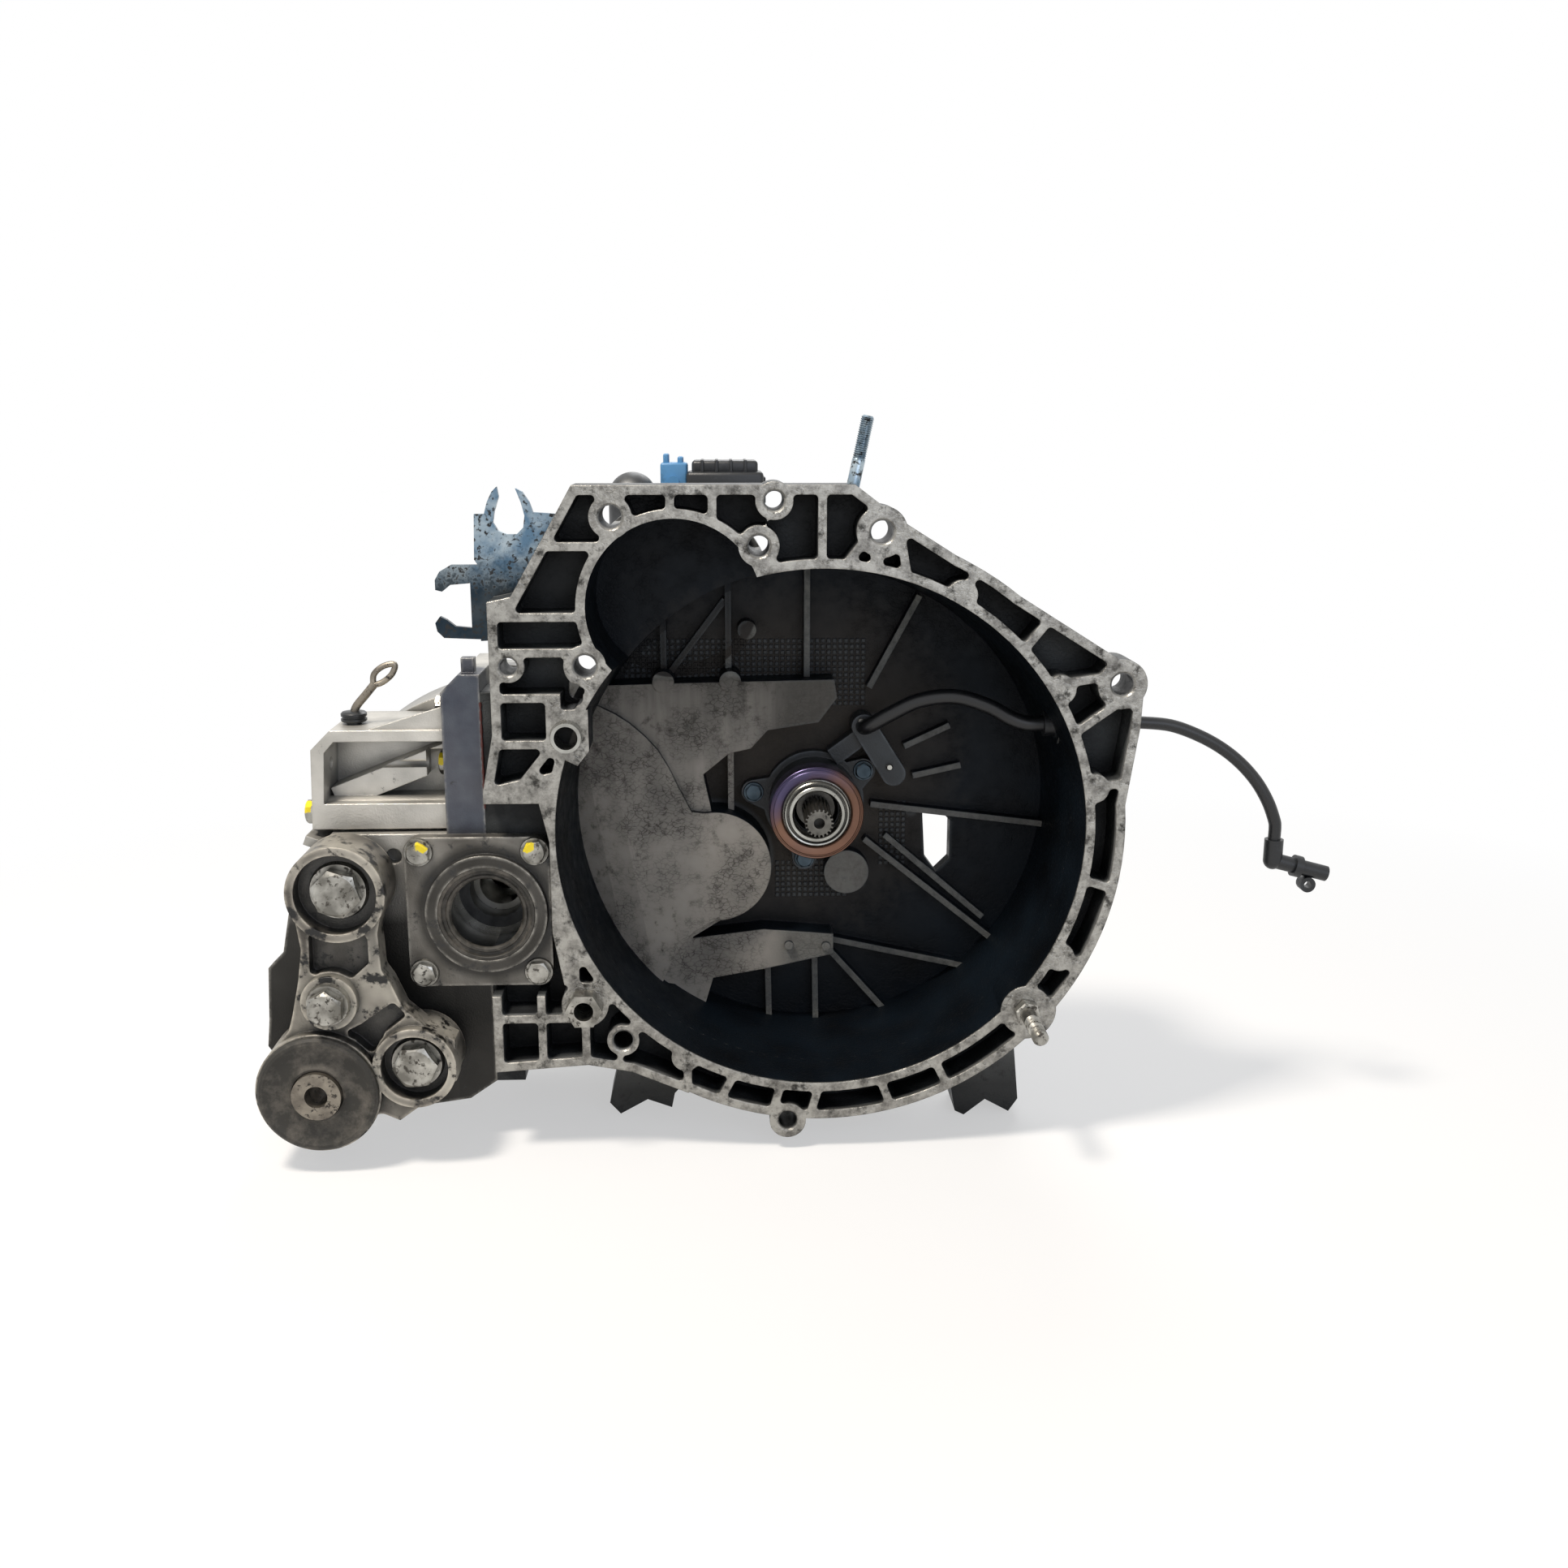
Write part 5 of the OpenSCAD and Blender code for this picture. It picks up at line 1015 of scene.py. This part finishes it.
def screwed(base: Point, heading: Point, radius: float, length: float, pitch: float) -> Shape:
    """Makes a threaded rod with a tapered tip.

    Args:
        base: The middle of the rod's lower end, in millimetres.
        heading: The way that the rod runs.
        radius: The outer radius of the thread, in millimetres.
        length: The rod's length, in millimetres.
        pitch: The distance between two turns of the thread, in millimetres.

    Returns:
        The rod's points and faces.
    """
    up, one, two = axes(heading)
    sides, rings_per_turn = 24, 8
    flank, taper = 1.1, 0.9
    steps = math.ceil(rings_per_turn * length / pitch)
    rings = []
    for i in range(steps + 1):
        h = length * i / steps
        middle = place(*base) + mm(h) * up
        tip = radius - pitch + taper * (length - h)
        ring = []
        for k, spoke in enumerate(circle(Vector(), 1.0, one, two, sides)):
            turn = (h / pitch - k / sides) % 1.0
            ridge = radius - flank * pitch * abs(turn - 0.5)
            ring.append(middle + mm(min(ridge, tip)) * spoke)
        rings.append(ring)
    return lofted(rings)


def block(low: Point, high: Point, radius: float) -> Shape:
    """Makes a box with rounded edges.

    Args:
        low: Its lowest corner, in millimetres.
        high: Its highest corner, in millimetres.
        radius: The radius of its edges, in millimetres.

    Returns:
        The box's points and faces.
    """
    work = bmesh.new()
    bmesh.ops.create_cube(work, size=1.0)
    for vert in work.verts:
        vert.co = place(*[l + (c + 0.5) * (h - l) for l, h, c in zip(low, high, vert.co)])
    edges = work.edges[:]
    bmesh.ops.bevel(work, geom=edges, offset=mm(radius), segments=3, profile=0.5, affect="EDGES")
    work.verts.index_update()
    shape = [v.co.copy() for v in work.verts], [[v.index for v in f.verts] for f in work.faces]
    work.free()
    return shape


def islands(node: str) -> list[Box]:
    """Finds the separate solids of a CAD node.

    Args:
        node: The node's name.

    Returns:
        The lowest and highest corner of each solid, in metres.
    """
    work = bmesh.new()
    work.from_mesh(FRAME["nodes"][node].data)
    bmesh.ops.remove_doubles(work, verts=work.verts, dist=WELD)
    work.verts.ensure_lookup_table()
    seen: set[int] = set()
    boxes: list[Box] = []
    for first in work.verts:
        if first.index in seen:
            continue
        seen.add(first.index)
        stack, group = [first], []
        while stack:
            vert = stack.pop()
            group.append(vert.co.copy())
            for edge in vert.link_edges:
                other = edge.other_vert(vert)
                if other.index not in seen:
                    seen.add(other.index)
                    stack.append(other)
        low = Vector([min(p[i] for p in group) for i in range(3)])
        high = Vector([max(p[i] for p in group) for i in range(3)])
        boxes.append((low, high))
    work.free()
    return boxes


# Repeated pieces, drawn by Geometry Nodes.


def grow(
    name: str,
    points: Sequence[Vector],
    tree: Tree,
    sizes: dict[str, Any],
    fields: dict[str, Sequence[float]] | None = None,
) -> Piece:
    """Runs a Geometry Nodes tree on loose points and keeps the result as a plain mesh.

    Args:
        name: The new piece's name.
        points: The points that the tree works from, in metres.
        tree: The tree.
        sizes: Values for the tree's inputs, by name.
        fields: Numbers that each point carries, by name.

    Returns:
        The finished piece, with no modifier left.
    """
    mesh = bpy.data.meshes.new(name)
    mesh.from_pydata([tuple(p) for p in points], [], [])
    for label, values in (fields or {}).items():
        mesh.attributes.new(label, "FLOAT", "POINT").data.foreach_set("value", list(values))
    made = linked(name, mesh)
    modifier = made.modifiers.new("grow", "NODES")
    modifier.node_group = tree
    for item in tree.interface.items_tree:
        if item.item_type == "SOCKET" and item.in_out == "INPUT" and item.name in sizes:
            modifier[item.identifier] = sizes[item.name]
    bpy.context.view_layer.update()
    grown = made.evaluated_get(bpy.context.evaluated_depsgraph_get())
    final = bpy.data.meshes.new_from_object(grown)
    made.modifiers.clear()
    made.data = final
    final.shade_smooth()
    final.set_sharp_from_angle(angle=math.radians(SHARP))
    return made


def new_tree(name: str, inputs: dict[str, str]) -> tuple[Graph, bpy.types.Node]:
    """Starts a Geometry Nodes tree.

    Args:
        name: The tree's name.
        inputs: Socket types of its inputs, by name.

    Returns:
        The tree's graph and its input node.
    """
    tree = bpy.data.node_groups.new(name, "GeometryNodeTree")
    tree.interface.new_socket("Geometry", in_out="INPUT", socket_type="NodeSocketGeometry")
    for label, kind in inputs.items():
        tree.interface.new_socket(label, in_out="INPUT", socket_type=kind)
    tree.interface.new_socket("Geometry", in_out="OUTPUT", socket_type="NodeSocketGeometry")
    graph = Graph(tree)
    return graph, graph.add("NodeGroupInput").node


def end_tree(g: Graph, parts: list[Socket], into: bpy.types.Node) -> None:
    """Ends a Geometry Nodes tree: makes its parts real and gives them the tree's Finish.

    Args:
        g: The tree's graph.
        parts: The parts that it has drawn.
        into: The tree's input node.
    """
    whole = g.add("GeometryNodeJoinGeometry", [parts])
    solid = g.add("GeometryNodeRealizeInstances", [whole])
    finish = {"Geometry": solid, "Material": into.outputs["Finish"]}
    g.add("NodeGroupOutput", [g.add("GeometryNodeSetMaterial", finish)])


class Heading(Enum):
    """The way a bolt's head looks."""

    ENGINE = (0, -1, 0)
    REAR = (0, 1, 0)
    LEFT = (-1, 0, 0)
    UP = (0, 0, 1)


@dataclass(frozen=True)
class BoltRow:
    """A row of hexagon bolts that stands for one CAD node."""

    node: str
    heading: Heading
    head_h: float
    washer: float = 1.21
    coat: Coat = Coat.BOLT

    def build(self, tree: Tree) -> Piece:
        """Builds the row where the node's solids are.

        Args:
            tree: The tree that draws one bolt at each point.

        Returns:
            The finished row.
        """
        out = Vector(self.heading.value)
        tops, girths, spans = [], [], []
        for low, high in islands(self.node):
            middle, half = (low + high) / 2, (high - low) / 2
            span = abs(half.dot(out))
            tops.append(middle + out * span)
            girths.append(max(h for h, o in zip(half, out) if o == 0) / self.washer)
            spans.append(2 * span)
        made = grow(
            f"dressed_{self.node}",
            tops,
            tree,
            {
                "Head Height": mm(self.head_h),
                "Washer": self.washer,
                "Heading": out,
                "Finish": self.coat.value.material(),
            },
            {"girth": girths, "span": spans},
        )
        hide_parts(self.node)
        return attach(made, "case")


@dataclass(frozen=True)
class Fasteners:
    """Hexagon bolts with chamfered heads and washer faces."""

    rows: tuple[BoltRow, ...] = (
        BoltRow("output_plate_bolts", Heading.ENGINE, 5.6),
        BoltRow("side_bolts", Heading.LEFT, 6.4),
        BoltRow("casing_bolts", Heading.REAR, 5.6),
        BoltRow("cover_bolts", Heading.REAR, 5.6),
        BoltRow("slave_bolts", Heading.ENGINE, 4.2, 1.21, Coat.DULL),
        BoltRow("turret_bolts", Heading.UP, 5.6, 1.0),
        BoltRow("bracket_bolts", Heading.ENGINE, 12.0, 1.18),
    )

    def tree(self) -> Tree:
        """Builds the tree that draws a bolt at each point, as wide and as long as the point says."""
        g, into = new_tree(
            "hexagon_bolts",
            {
                "Head Height": "NodeSocketFloat",
                "Washer": "NodeSocketFloat",
                "Heading": "NodeSocketVector",
                "Finish": "NodeSocketMaterial",
            },
        )
        points, washer_r = into.outputs["Geometry"], into.outputs["Washer"]
        girth, span = (
            g.add("GeometryNodeInputNamedAttribute", {"Name": name}, data_type="FLOAT")
            for name in ("girth", "span")
        )
        # A head of radius one and height one, the flat cone that takes off its corners, the face of its
        # washer and the shank, each with the height of its middle.
        lip = g.add("ShaderNodeMath", [washer_r, 0.93], **TIMES)
        taper = {"Radius Bottom": 2.21, "Radius Top": 0.672}
        flare = {"Radius Bottom": washer_r, "Radius Top": lip}
        forms = (
            ("Cylinder", {"Vertices": 6, "Radius": 1.0, "Depth": 1.0}, -0.5),
            ("Cone", {"Vertices": 48, **taper, "Depth": 1.2}, -1.1),
            ("Cone", {"Vertices": 40, **flare, "Depth": 0.3}, -1.0),
            ("Cylinder", {"Vertices": 24, "Radius": 0.526, "Depth": 0.98}, -0.51),
        )
        moved = []
        for kind, size, height in forms:
            form = g.add(f"GeometryNodeMesh{kind}", size, "Mesh")
            shift = {"Geometry": form, "Translation": (0, 0, height)}
            moved.append(g.add("GeometryNodeTransform", shift))
        prism, cone, washer, shank = moved
        head = g.add("GeometryNodeMeshBoolean", {1: [prism, cone]}, operation="INTERSECT")
        top = g.add("GeometryNodeJoinGeometry", [[head, washer]])
        # Heads are as wide as the point says, and each has stopped at an angle of its own.
        turn = g.add("FunctionNodeAlignRotationToVector", {"Vector": into.outputs["Heading"]}, axis="Z")
        both = {"Points": points, "Rotation": turn}
        wide = g.add("ShaderNodeCombineXYZ", {"X": girth, "Y": girth, "Z": into.outputs["Head Height"]})
        heads = g.add("GeometryNodeInstanceOnPoints", {**both, "Instance": top, "Scale": wide})
        stop = g.add("FunctionNodeRandomValue", {2: 0.0, 3: 1.05, "Seed": 7}, 1, data_type="FLOAT")
        twist = {"Rotation": g.add("ShaderNodeCombineXYZ", {"Z": stop}), "Local Space": True}
        heads = g.add("GeometryNodeRotateInstances", {"Instances": heads, **twist})
        long = g.add("ShaderNodeCombineXYZ", {"X": girth, "Y": girth, "Z": span})
        shanks = g.add("GeometryNodeInstanceOnPoints", {**both, "Instance": shank, "Scale": long})
        end_tree(g, [heads, shanks], into)
        return g.tree

    def build(self) -> list[Piece]:
        """Builds every row of bolts."""
        tree = self.tree()
        return [row.build(tree) for row in self.rows]


@dataclass(frozen=True)
class WafflePads:
    """Square pads cast on the bell's floor where it is flat."""

    pitch: float = 3.8
    side: float = 2.9
    rise: float = 0.8
    fields: tuple[tuple[float, float, float, float], ...] = (
        (-123.0, 34.0, 64.0, 106.0),
        (-24.0, 22.0, -68.0, -44.0),
        (46.0, 64.0, -46.0, -4.0),
    )

    def tree(self) -> Tree:
        """Builds the tree that draws a pad at each point."""
        kinds = {"Side": "NodeSocketFloat", "Rise": "NodeSocketFloat", "Finish": "NodeSocketMaterial"}
        g, into = new_tree("square_pads", kinds)
        side, rise = into.outputs["Side"], into.outputs["Rise"]
        wide, narrow = (g.add("ShaderNodeMath", [side, part], **TIMES) for part in (0.707, 0.55))
        size = {"Vertices": 4, "Radius Top": narrow, "Radius Bottom": wide, "Depth": rise}
        pad = g.add("GeometryNodeMeshCone", size, "Mesh")
        pad = g.add("GeometryNodeTransform", {"Geometry": pad, "Rotation": (0, 0, math.pi / 4)})
        each = {"Points": into.outputs["Geometry"], "Instance": pad, "Rotation": (math.pi / 2, 0, 0)}
        end_tree(g, [g.add("GeometryNodeInstanceOnPoints", each)], into)
        return g.tree

    def build(self) -> list[Piece]:
        """Builds the pads of every field."""
        points = []
        for left, right, low, high in self.fields:
            for i in range(int((right - left) / self.pitch) + 1):
                for k in range(int((high - low) / self.pitch) + 1):
                    points.append(place(left + i * self.pitch, FLOOR_Y + 0.1, low + k * self.pitch))
        made = grow(
            "waffle_pads",
            points,
            self.tree(),
            {"Side": mm(self.side), "Rise": mm(self.rise), "Finish": Coat.BELL.value.material()},
        )
        return [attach(made, "case")]


# Single pieces.


@dataclass(frozen=True)
class Turning:
    """A piece with round rings that stands for one CAD node."""

    name: str
    node: str
    body: str
    slot: str
    coat: Coat
    axis: Flat
    profiles: tuple[tuple[Flat, ...], ...]

    def build(self) -> Piece:
        """Turns the rings and puts the piece in its node's place."""
        base = (self.axis[0], 0, self.axis[1])
        shape = joined([turned(profile, base) for profile in self.profiles])
        made = new_piece(self.name, shape, self.coat, self.body, 30)
        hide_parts(self.node)
        return made


@dataclass(frozen=True)
class Rings:
    """The turned and moulded rings: release bearing, oil seals and the bush of the torque bracket."""

    # Profiles as radius and depth, in millimetres.
    bearing: tuple[Flat, ...] = (
        (22.3, 64), (22.3, 56.2), (22.9, 55.4), (23.8, 55), (27.6, 55), (28.2, 55.5), (28.4, 56.4),
        (29, 56.4), (29.2, 55.7), (29.8, 55.5), (30.3, 56), (30.5, 57), (30.5, 71), (30, 72),
        (24.5, 72), (24.5, 88), (17.9, 88), (17.9, 64),
    )
    face: tuple[Flat, ...] = (
        (15, 64), (15, 53.6), (15.3, 52.6), (16, 52), (17.7, 52), (18.2, 52.4), (18.4, 53.4),
        (18.4, 55.6), (19.3, 55.6), (19.3, 54), (19.7, 53.2), (20.6, 53), (21.2, 53.6),
        (21.4, 56.4), (22.2, 56.8), (22.2, 64),
    )
    bush: tuple[Flat, ...] = (
        (15, 13), (15, -21.5), (15.8, -22.8), (17, -23), (18.4, -21.6), (20.5, -21), (30, -22.2),
        (33, -23.8), (35, -23.6), (36.6, -22.2), (37, -20.6), (36.6, -20.1), (31, -20), (31, 13),
    )
    seal: tuple[Flat, ...] = (
        (30, 20), (30, 8.4), (29.6, 8), (28, 8), (27.6, 8.4), (27.4, 10.2), (25.4, 10.4), (24.6, 9.4),
        (23.2, 9.6), (22.2, 10.8), (22, 11.6), (23.6, 14), (24, 16), (25, 17.4), (25, 20),
    )
    # The rear seal mirrors the front one: their depths add up to this.
    both_seals: float = 184.0

    def build(self) -> list[Piece]:
        """Builds every ring."""
        rear_seal = tuple((r, self.both_seals - h) for r, h in self.seal)
        pieces = (
            Turning(
                "tinted_bearing_ring", "release_bearing", "release", "copper_ring",
                Coat.TINT, (0, 0), (self.bearing,),
            ),
            Turning(
                "ground_bearing_face", "release_face", "release", "bearing_steel",
                Coat.RACE, (0, 0), (self.face,),
            ),
            Turning(
                "moulded_bush", "bush_rubber", "case", "black_rubber",
                Coat.RUBBER, EYE_AXIS, (self.bush,),
            ),
            Turning(
                "lipped_oil_seals", "output_seal", "case", "black_rubber",
                Coat.RUBBER, DRIVE_AXIS, (self.seal, rear_seal),
            ),
        )
        return [piece.build() for piece in pieces]


@dataclass(frozen=True)
class Studs:
    """The threaded engine stud with its collar, and the small stud on the bell's top."""

    engine_at: Point = (129, 0, -115)
    top_at: Point = (17, 18, 204)
    # The top stud leans 12 degrees to the right.
    lean: Point = (math.sin(math.radians(12)), 0.0, math.cos(math.radians(12)))
    shank: float = 20.0

    def engine(self) -> Piece:
        """Builds the engine stud: thread, shank and hexagon collar."""
        x, y, z = self.engine_at
        shapes = [
            screwed((x, y - self.shank, z), (0, -1, 0), 5.0, 27.0, 1.5),
            turned(((0, 22), (4.9, 22), (4.9, -20), (4.4, -21), (0, -21)), self.engine_at, sides=32),
            turned(((0, 0), (7.2, 0), (8, -0.8), (8, -7), (7, -8), (0, -8)), self.engine_at, sides=6),
        ]
        made = new_piece("threaded_engine_stud", joined(shapes), Coat.BOLT, "case", 30)
        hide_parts("engine_studs")
        return made

    def top(self) -> Piece:
        """Builds the leaning stud on the bell's top: thread and shank."""
        end = [at + self.shank * lean for at, lean in zip(self.top_at, self.lean)]
        outline = ((0, 0), (3.9, 0), (3.9, 20), (3.5, 21), (0, 21))
        shapes = [
            screwed((end[0], end[1], end[2]), self.lean, 4.0, 26.0, 1.25),
            turned(outline, self.top_at, self.lean, 32),
        ]
        return new_piece("threaded_top_stud", joined(shapes), Coat.ZINC, "case", 30)

    def build(self) -> list[Piece]:
        """Builds both studs."""
        return [self.engine(), self.top()]


@dataclass(frozen=True)
class SmallParts:
    """The moulded cap and clip of the lever, the breather, the slave's pins and the joint's sealant."""

    # Blocks as lowest corner, highest corner and radius of their edges, in millimetres.
    cap_blocks: tuple[Block, ...] = (
        ((-84, 186, 183), (-30, 222, 212), 3.0),
        ((-80, 189, 209), (-34, 219, 219.5), 2.5),
    )
    clip_blocks: tuple[Block, ...] = (
        ((-102, 194, 191), (-83, 214, 218), 2.0),
        ((-100, 196, 215), (-96, 212, 224), 1.2),
        ((-90, 196, 215), (-86, 212, 222), 1.2),
    )
    # Where the cap's ribs begin, across its top and down its end.
    top_ribs_x: tuple[float, ...] = (-74, -64, -54, -44)
    end_ribs_y: tuple[float, ...] = (192, 202, 212)
    # Outlines as radius and height, in millimetres.
    neck: tuple[Flat, ...] = ((0, 168), (11, 168), (12, 169), (12, 186), (0, 186))
    button: tuple[Flat, ...] = ((0, 0), (3.4, 0), (4, 0.6), (4, 4), (0, 4))
    ribbed_cap: tuple[Flat, ...] = (
        (0, 61.5), (4.5, 61.5), (4.5, 63.5), (7.4, 63.5), (8, 64.2), (8, 65.4), (7.2, 65.8),
        (7.2, 66.6), (8, 67), (8, 68.6), (7, 69.6), (3, 70), (0, 70),
    )
    pin: tuple[Flat, ...] = ((0, 0), (2.2, 0), (2.2, 2.4), (1.6, 3), (0, 3))
    pins_at: tuple[Point, ...] = ((30, 80.2, 56), (49, 80.2, 25))
    # The breather's wire, from its cap to the eye at its end.
    wire: tuple[Point, ...] = ((-290, 52, 68), (-288, 52, 73), (-282, 52, 80), (-276, 52, 87))
    eye: tuple[Point, ...] = (
        (-277, 52, 86), (-276, 52, 93), (-270, 52, 98), (-263, 52, 99), (-265, 52, 93),
        (-271, 52, 88), (-277, 52, 86),
    )
    # The bead runs down the joint, and its width wavers.
    bead_route: tuple[Point, ...] = tuple((-206.6, 21.9, z) for z in range(80, 8, -6))
    bead_r: float = 0.75
    bead_wave: float = 0.3

    def cap(self) -> list[Piece]:
        """Builds the lever's moulded cap and its blue clip."""
        shapes = [block(*form) for form in self.cap_blocks]
        shapes.append(turned(self.neck, (-72, 204, 0), (0, 0, 1), 48))
        shapes += [block((x, 188, 205), (x + 2.4, 221.2, 220), 0.8) for x in self.top_ribs_x]
        shapes += [block((-30.5, y, 190), (-28.5, y + 3, 208), 0.8) for y in self.end_ribs_y]
        cap = new_piece("moulded_lever_cap", joined(shapes), Coat.PLASTIC, "selector")
        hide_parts("lever_cap")
        shapes = [block(*form) for form in self.clip_blocks]
        shapes.append(turned(self.button, (-93, 194.5, 205), (0, -1, 0), 32))
        clip = new_piece("blue_cable_clip", joined(shapes), Coat.BLUE, "selector")
        return [cap, clip]

    def breather(self) -> list[Piece]:
        """Builds the breather's ribbed cap and its bent wire with a flat eye."""
        cap = turned(self.ribbed_cap, (-290, 52, 0), (0, 0, 1), 48)
        made = new_piece("breather_cap", cap, Coat.PLASTIC, "case")
        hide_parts("breather")
        bend, eye = smooth_path(self.wire, 6), smooth_path(self.eye, 6)
        shape = joined([tube(bend, 2.6, 14), tube(eye, 1.9, 12)])
        return [made, new_piece("breather_wire", shape, Coat.WORN, "case", 60)]

    def pins(self) -> list[Piece]:
        """Builds the two bright pins on the slave cylinder's port."""
        shape = joined([turned(self.pin, at, (0, -1, 0), 32) for at in self.pins_at])
        return [new_piece("slave_port_pins", shape, Coat.RACE, "case")]

    def bead(self) -> list[Piece]:
        """Builds the sealant squeezed out along the joint of the two housings."""
        line = smooth_path(self.bead_route, 4)
        waves = [self.bead_wave * math.sin(1.7 * k) * math.sin(0.6 * k) for k in range(len(line))]
        shape = tube(line, self.bead_r, 10, waves)
        return [new_piece("joint_sealant", shape, Coat.SEALANT, "case", 60)]

    def build(self) -> list[Piece]:
        """Builds every small part."""
        return self.cap() + self.breather() + self.pins() + self.bead()


@dataclass(frozen=True)
class FluidLine:
    """The clutch's fluid line: the pipe in the bell and the hose outside it."""

    hose_r: float = 4.0
    pipe_r: float = 5.0
    hose_route: tuple[Point, ...] = (
        (196, 45, 60), (206, 45, 60), (224, 45, 58), (241, 44, 52), (256, 43, 44), (269, 42, 34),
        (280, 41, 22), (288, 40, 9), (293, 40, -3), (294, 40, -8), (294, 40, -16),
    )
    pipe_route: tuple[Point, ...] = (
        (32, 90, 52), (32, 78, 52), (36, 71, 55), (48, 66, 63), (66, 63, 72), (88, 59, 75),
        (108, 53, 70), (122, 47, 63), (132, 45, 60), (142, 45, 60),
    )

    def build(self) -> list[Piece]:
        """Builds the hose and the pipe, each as a fixed tube."""
        line = smooth_path(self.hose_route, 6)
        shape = tube(line, self.hose_r, 20)
        hose = new_piece("rubber_hose", shape, Coat.HOSE, "case", 60)
        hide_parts("clutch_hose")
        line = smooth_path(self.pipe_route, 6)
        shape = tube(line, self.pipe_r, 20)
        pipe = new_piece("bent_pipe", shape, Coat.HOSE, "case", 60)
        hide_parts("slave_pipe")
        return [hose, pipe]


@dataclass(frozen=True)
class Studio:
    """The pale floor, the soft light and the camera. Lengths are in metres."""

    camera_at: Point = (-0.0597, -0.900, 0.2444)
    camera_look: Point = (0.0392, 0.9727, -0.2287)
    lens_mm: float = 35.22
    sensor_mm: float = 36.0
    floor_half: float = 9.0

    def camera(self) -> Piece:
        """Sets the camera where the photograph was taken from."""
        data = bpy.data.cameras.new("camera")
        data.sensor_width, data.lens = self.sensor_mm, self.lens_mm
        data.clip_start, data.clip_end = 0.01, 50.0
        made = linked("camera", data)
        made.location = self.camera_at
        made.rotation_mode = "QUATERNION"
        made.rotation_quaternion = Vector(self.camera_look).to_track_quat("-Z", "Y")
        bpy.context.scene.camera = made
        return made

    def lamp(self, name: str, at: Point, aim: Point, size: float, power: float, tint: str) -> None:
        """Adds a soft square lamp.

        Args:
            name: The lamp's name.
            at: Its place, in metres.
            aim: The point that it looks at, in metres.
            size: The length of its sides, in metres.
            power: Its power, in watts.
            tint: Its colour.
        """
        data = bpy.data.lights.new(name, "AREA")
        data.size, data.energy, data.color = size, power, srgb(tint)[:3]
        made = linked(name, data)
        made.location = at
        made.rotation_mode = "QUATERNION"
        made.rotation_quaternion = (Vector(aim) - Vector(at)).to_track_quat("-Z", "Y")

    def seen(self, g: Graph) -> Socket:
        """Tells the rays that show the background from those that only light the object.

        Args:
            g: The graph of the world or the floor.

        Returns:
            One for rays from the camera, from a shiny surface or through a clear one.
        """
        path = g.add("ShaderNodeLightPath").node.outputs
        seen = path["Is Camera Ray"]
        for ray in ("Is Glossy Ray", "Is Transmission Ray"):
            seen = g.add("ShaderNodeMath", [seen, path[ray]], operation="MAXIMUM")
        return seen

    def world(self) -> None:
        """Builds the white world, dimmer for the light that it sheds."""
        world = bpy.data.worlds.new("studio")
        bpy.context.scene.world = world
        g = fresh(world)
        glow = g.add("ShaderNodeMapRange", [self.seen(g), 0.0, 1.0, 0.23, 1.0])
        sky = g.add("ShaderNodeBackground", {"Color": srgb("#ffffff"), "Strength": glow})
        g.add("ShaderNodeOutputWorld", {"Surface": sky})

    def floor(self) -> None:
        """Builds the floor, which keeps the object's shadow and fades to white away from it."""
        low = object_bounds()[0].z
        sheet = bpy.data.meshes.new("floor")
        signs = ((-1, -1), (1, -1), (1, 1), (-1, 1))
        corners = [(x * self.floor_half, y * self.floor_half, low) for x, y in signs]
        sheet.from_pydata(corners, [], [(0, 1, 2, 3)])
        made = linked("floor", sheet)
        paper = bpy.data.materials.new("pale_floor")
        g = fresh(paper)
        at = g.add("ShaderNodeTexCoord", out="Object")
        flat = g.add("ShaderNodeVectorMath", [at, (1.0, 1.0, 0.0)], **TIMES)
        away = g.add("ShaderNodeVectorMath", [flat], "Value", operation="LENGTH")
        fade = g.add("ShaderNodeMapRange", [away, 0.35, 1.1, 0.5, 1.0])
        share = g.add("ShaderNodeMath", [self.seen(g), fade], **TIMES)
        matt = g.add("ShaderNodeBsdfDiffuse", {"Color": srgb("#f4f4f4")})
        lit = g.add("ShaderNodeEmission", {"Color": srgb("#ffffff"), "Strength": 1.0})
        both = g.add("ShaderNodeMixShader", [share, matt, lit])
        g.add("ShaderNodeOutputMaterial", {"Surface": both})
        sheet.materials.append(paper)
        made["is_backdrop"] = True

    def build(self) -> None:
        """Builds the floor, the lamps and the world."""
        bpy.context.scene.view_settings.view_transform = "Standard"
        self.world()
        self.floor()
        self.lamp("key", (-0.75, -0.55, 1.7), (-0.08, 0.05, 0.0), 0.35, 42.0, "#fff6ea")
        self.lamp("fill", (0.7, -1.9, 0.8), (0.0, 0.1, 0.0), 1.4, 9.0, "#dfeaff")
        self.lamp("back", (0.2, 1.4, 1.4), (0.0, 0.1, 0.1), 1.0, 14.0, "#ffffff")


def main() -> None:
    """Builds the pieces in order, from the camera and the hose to the fasteners."""
    logging.basicConfig(level=logging.INFO)
    FRAME.update(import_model())
    studio = Studio()
    studio.camera()
    for coat, nodes in FINISHES.items():
        for node in nodes.split():
            mesh = FRAME["nodes"][node].data
            mesh.materials.clear()
            mesh.materials.append(coat.value.material())
    makers = (FluidLine(), Rings(), Studs(), WafflePads(), SmallParts(), Fasteners())
    for maker in makers:
        for piece in maker.build():
            LOG.info("built %s", piece.name)
    studio.build()
    bpy.context.view_layer.update()


if __name__ == "__main__":
    main()
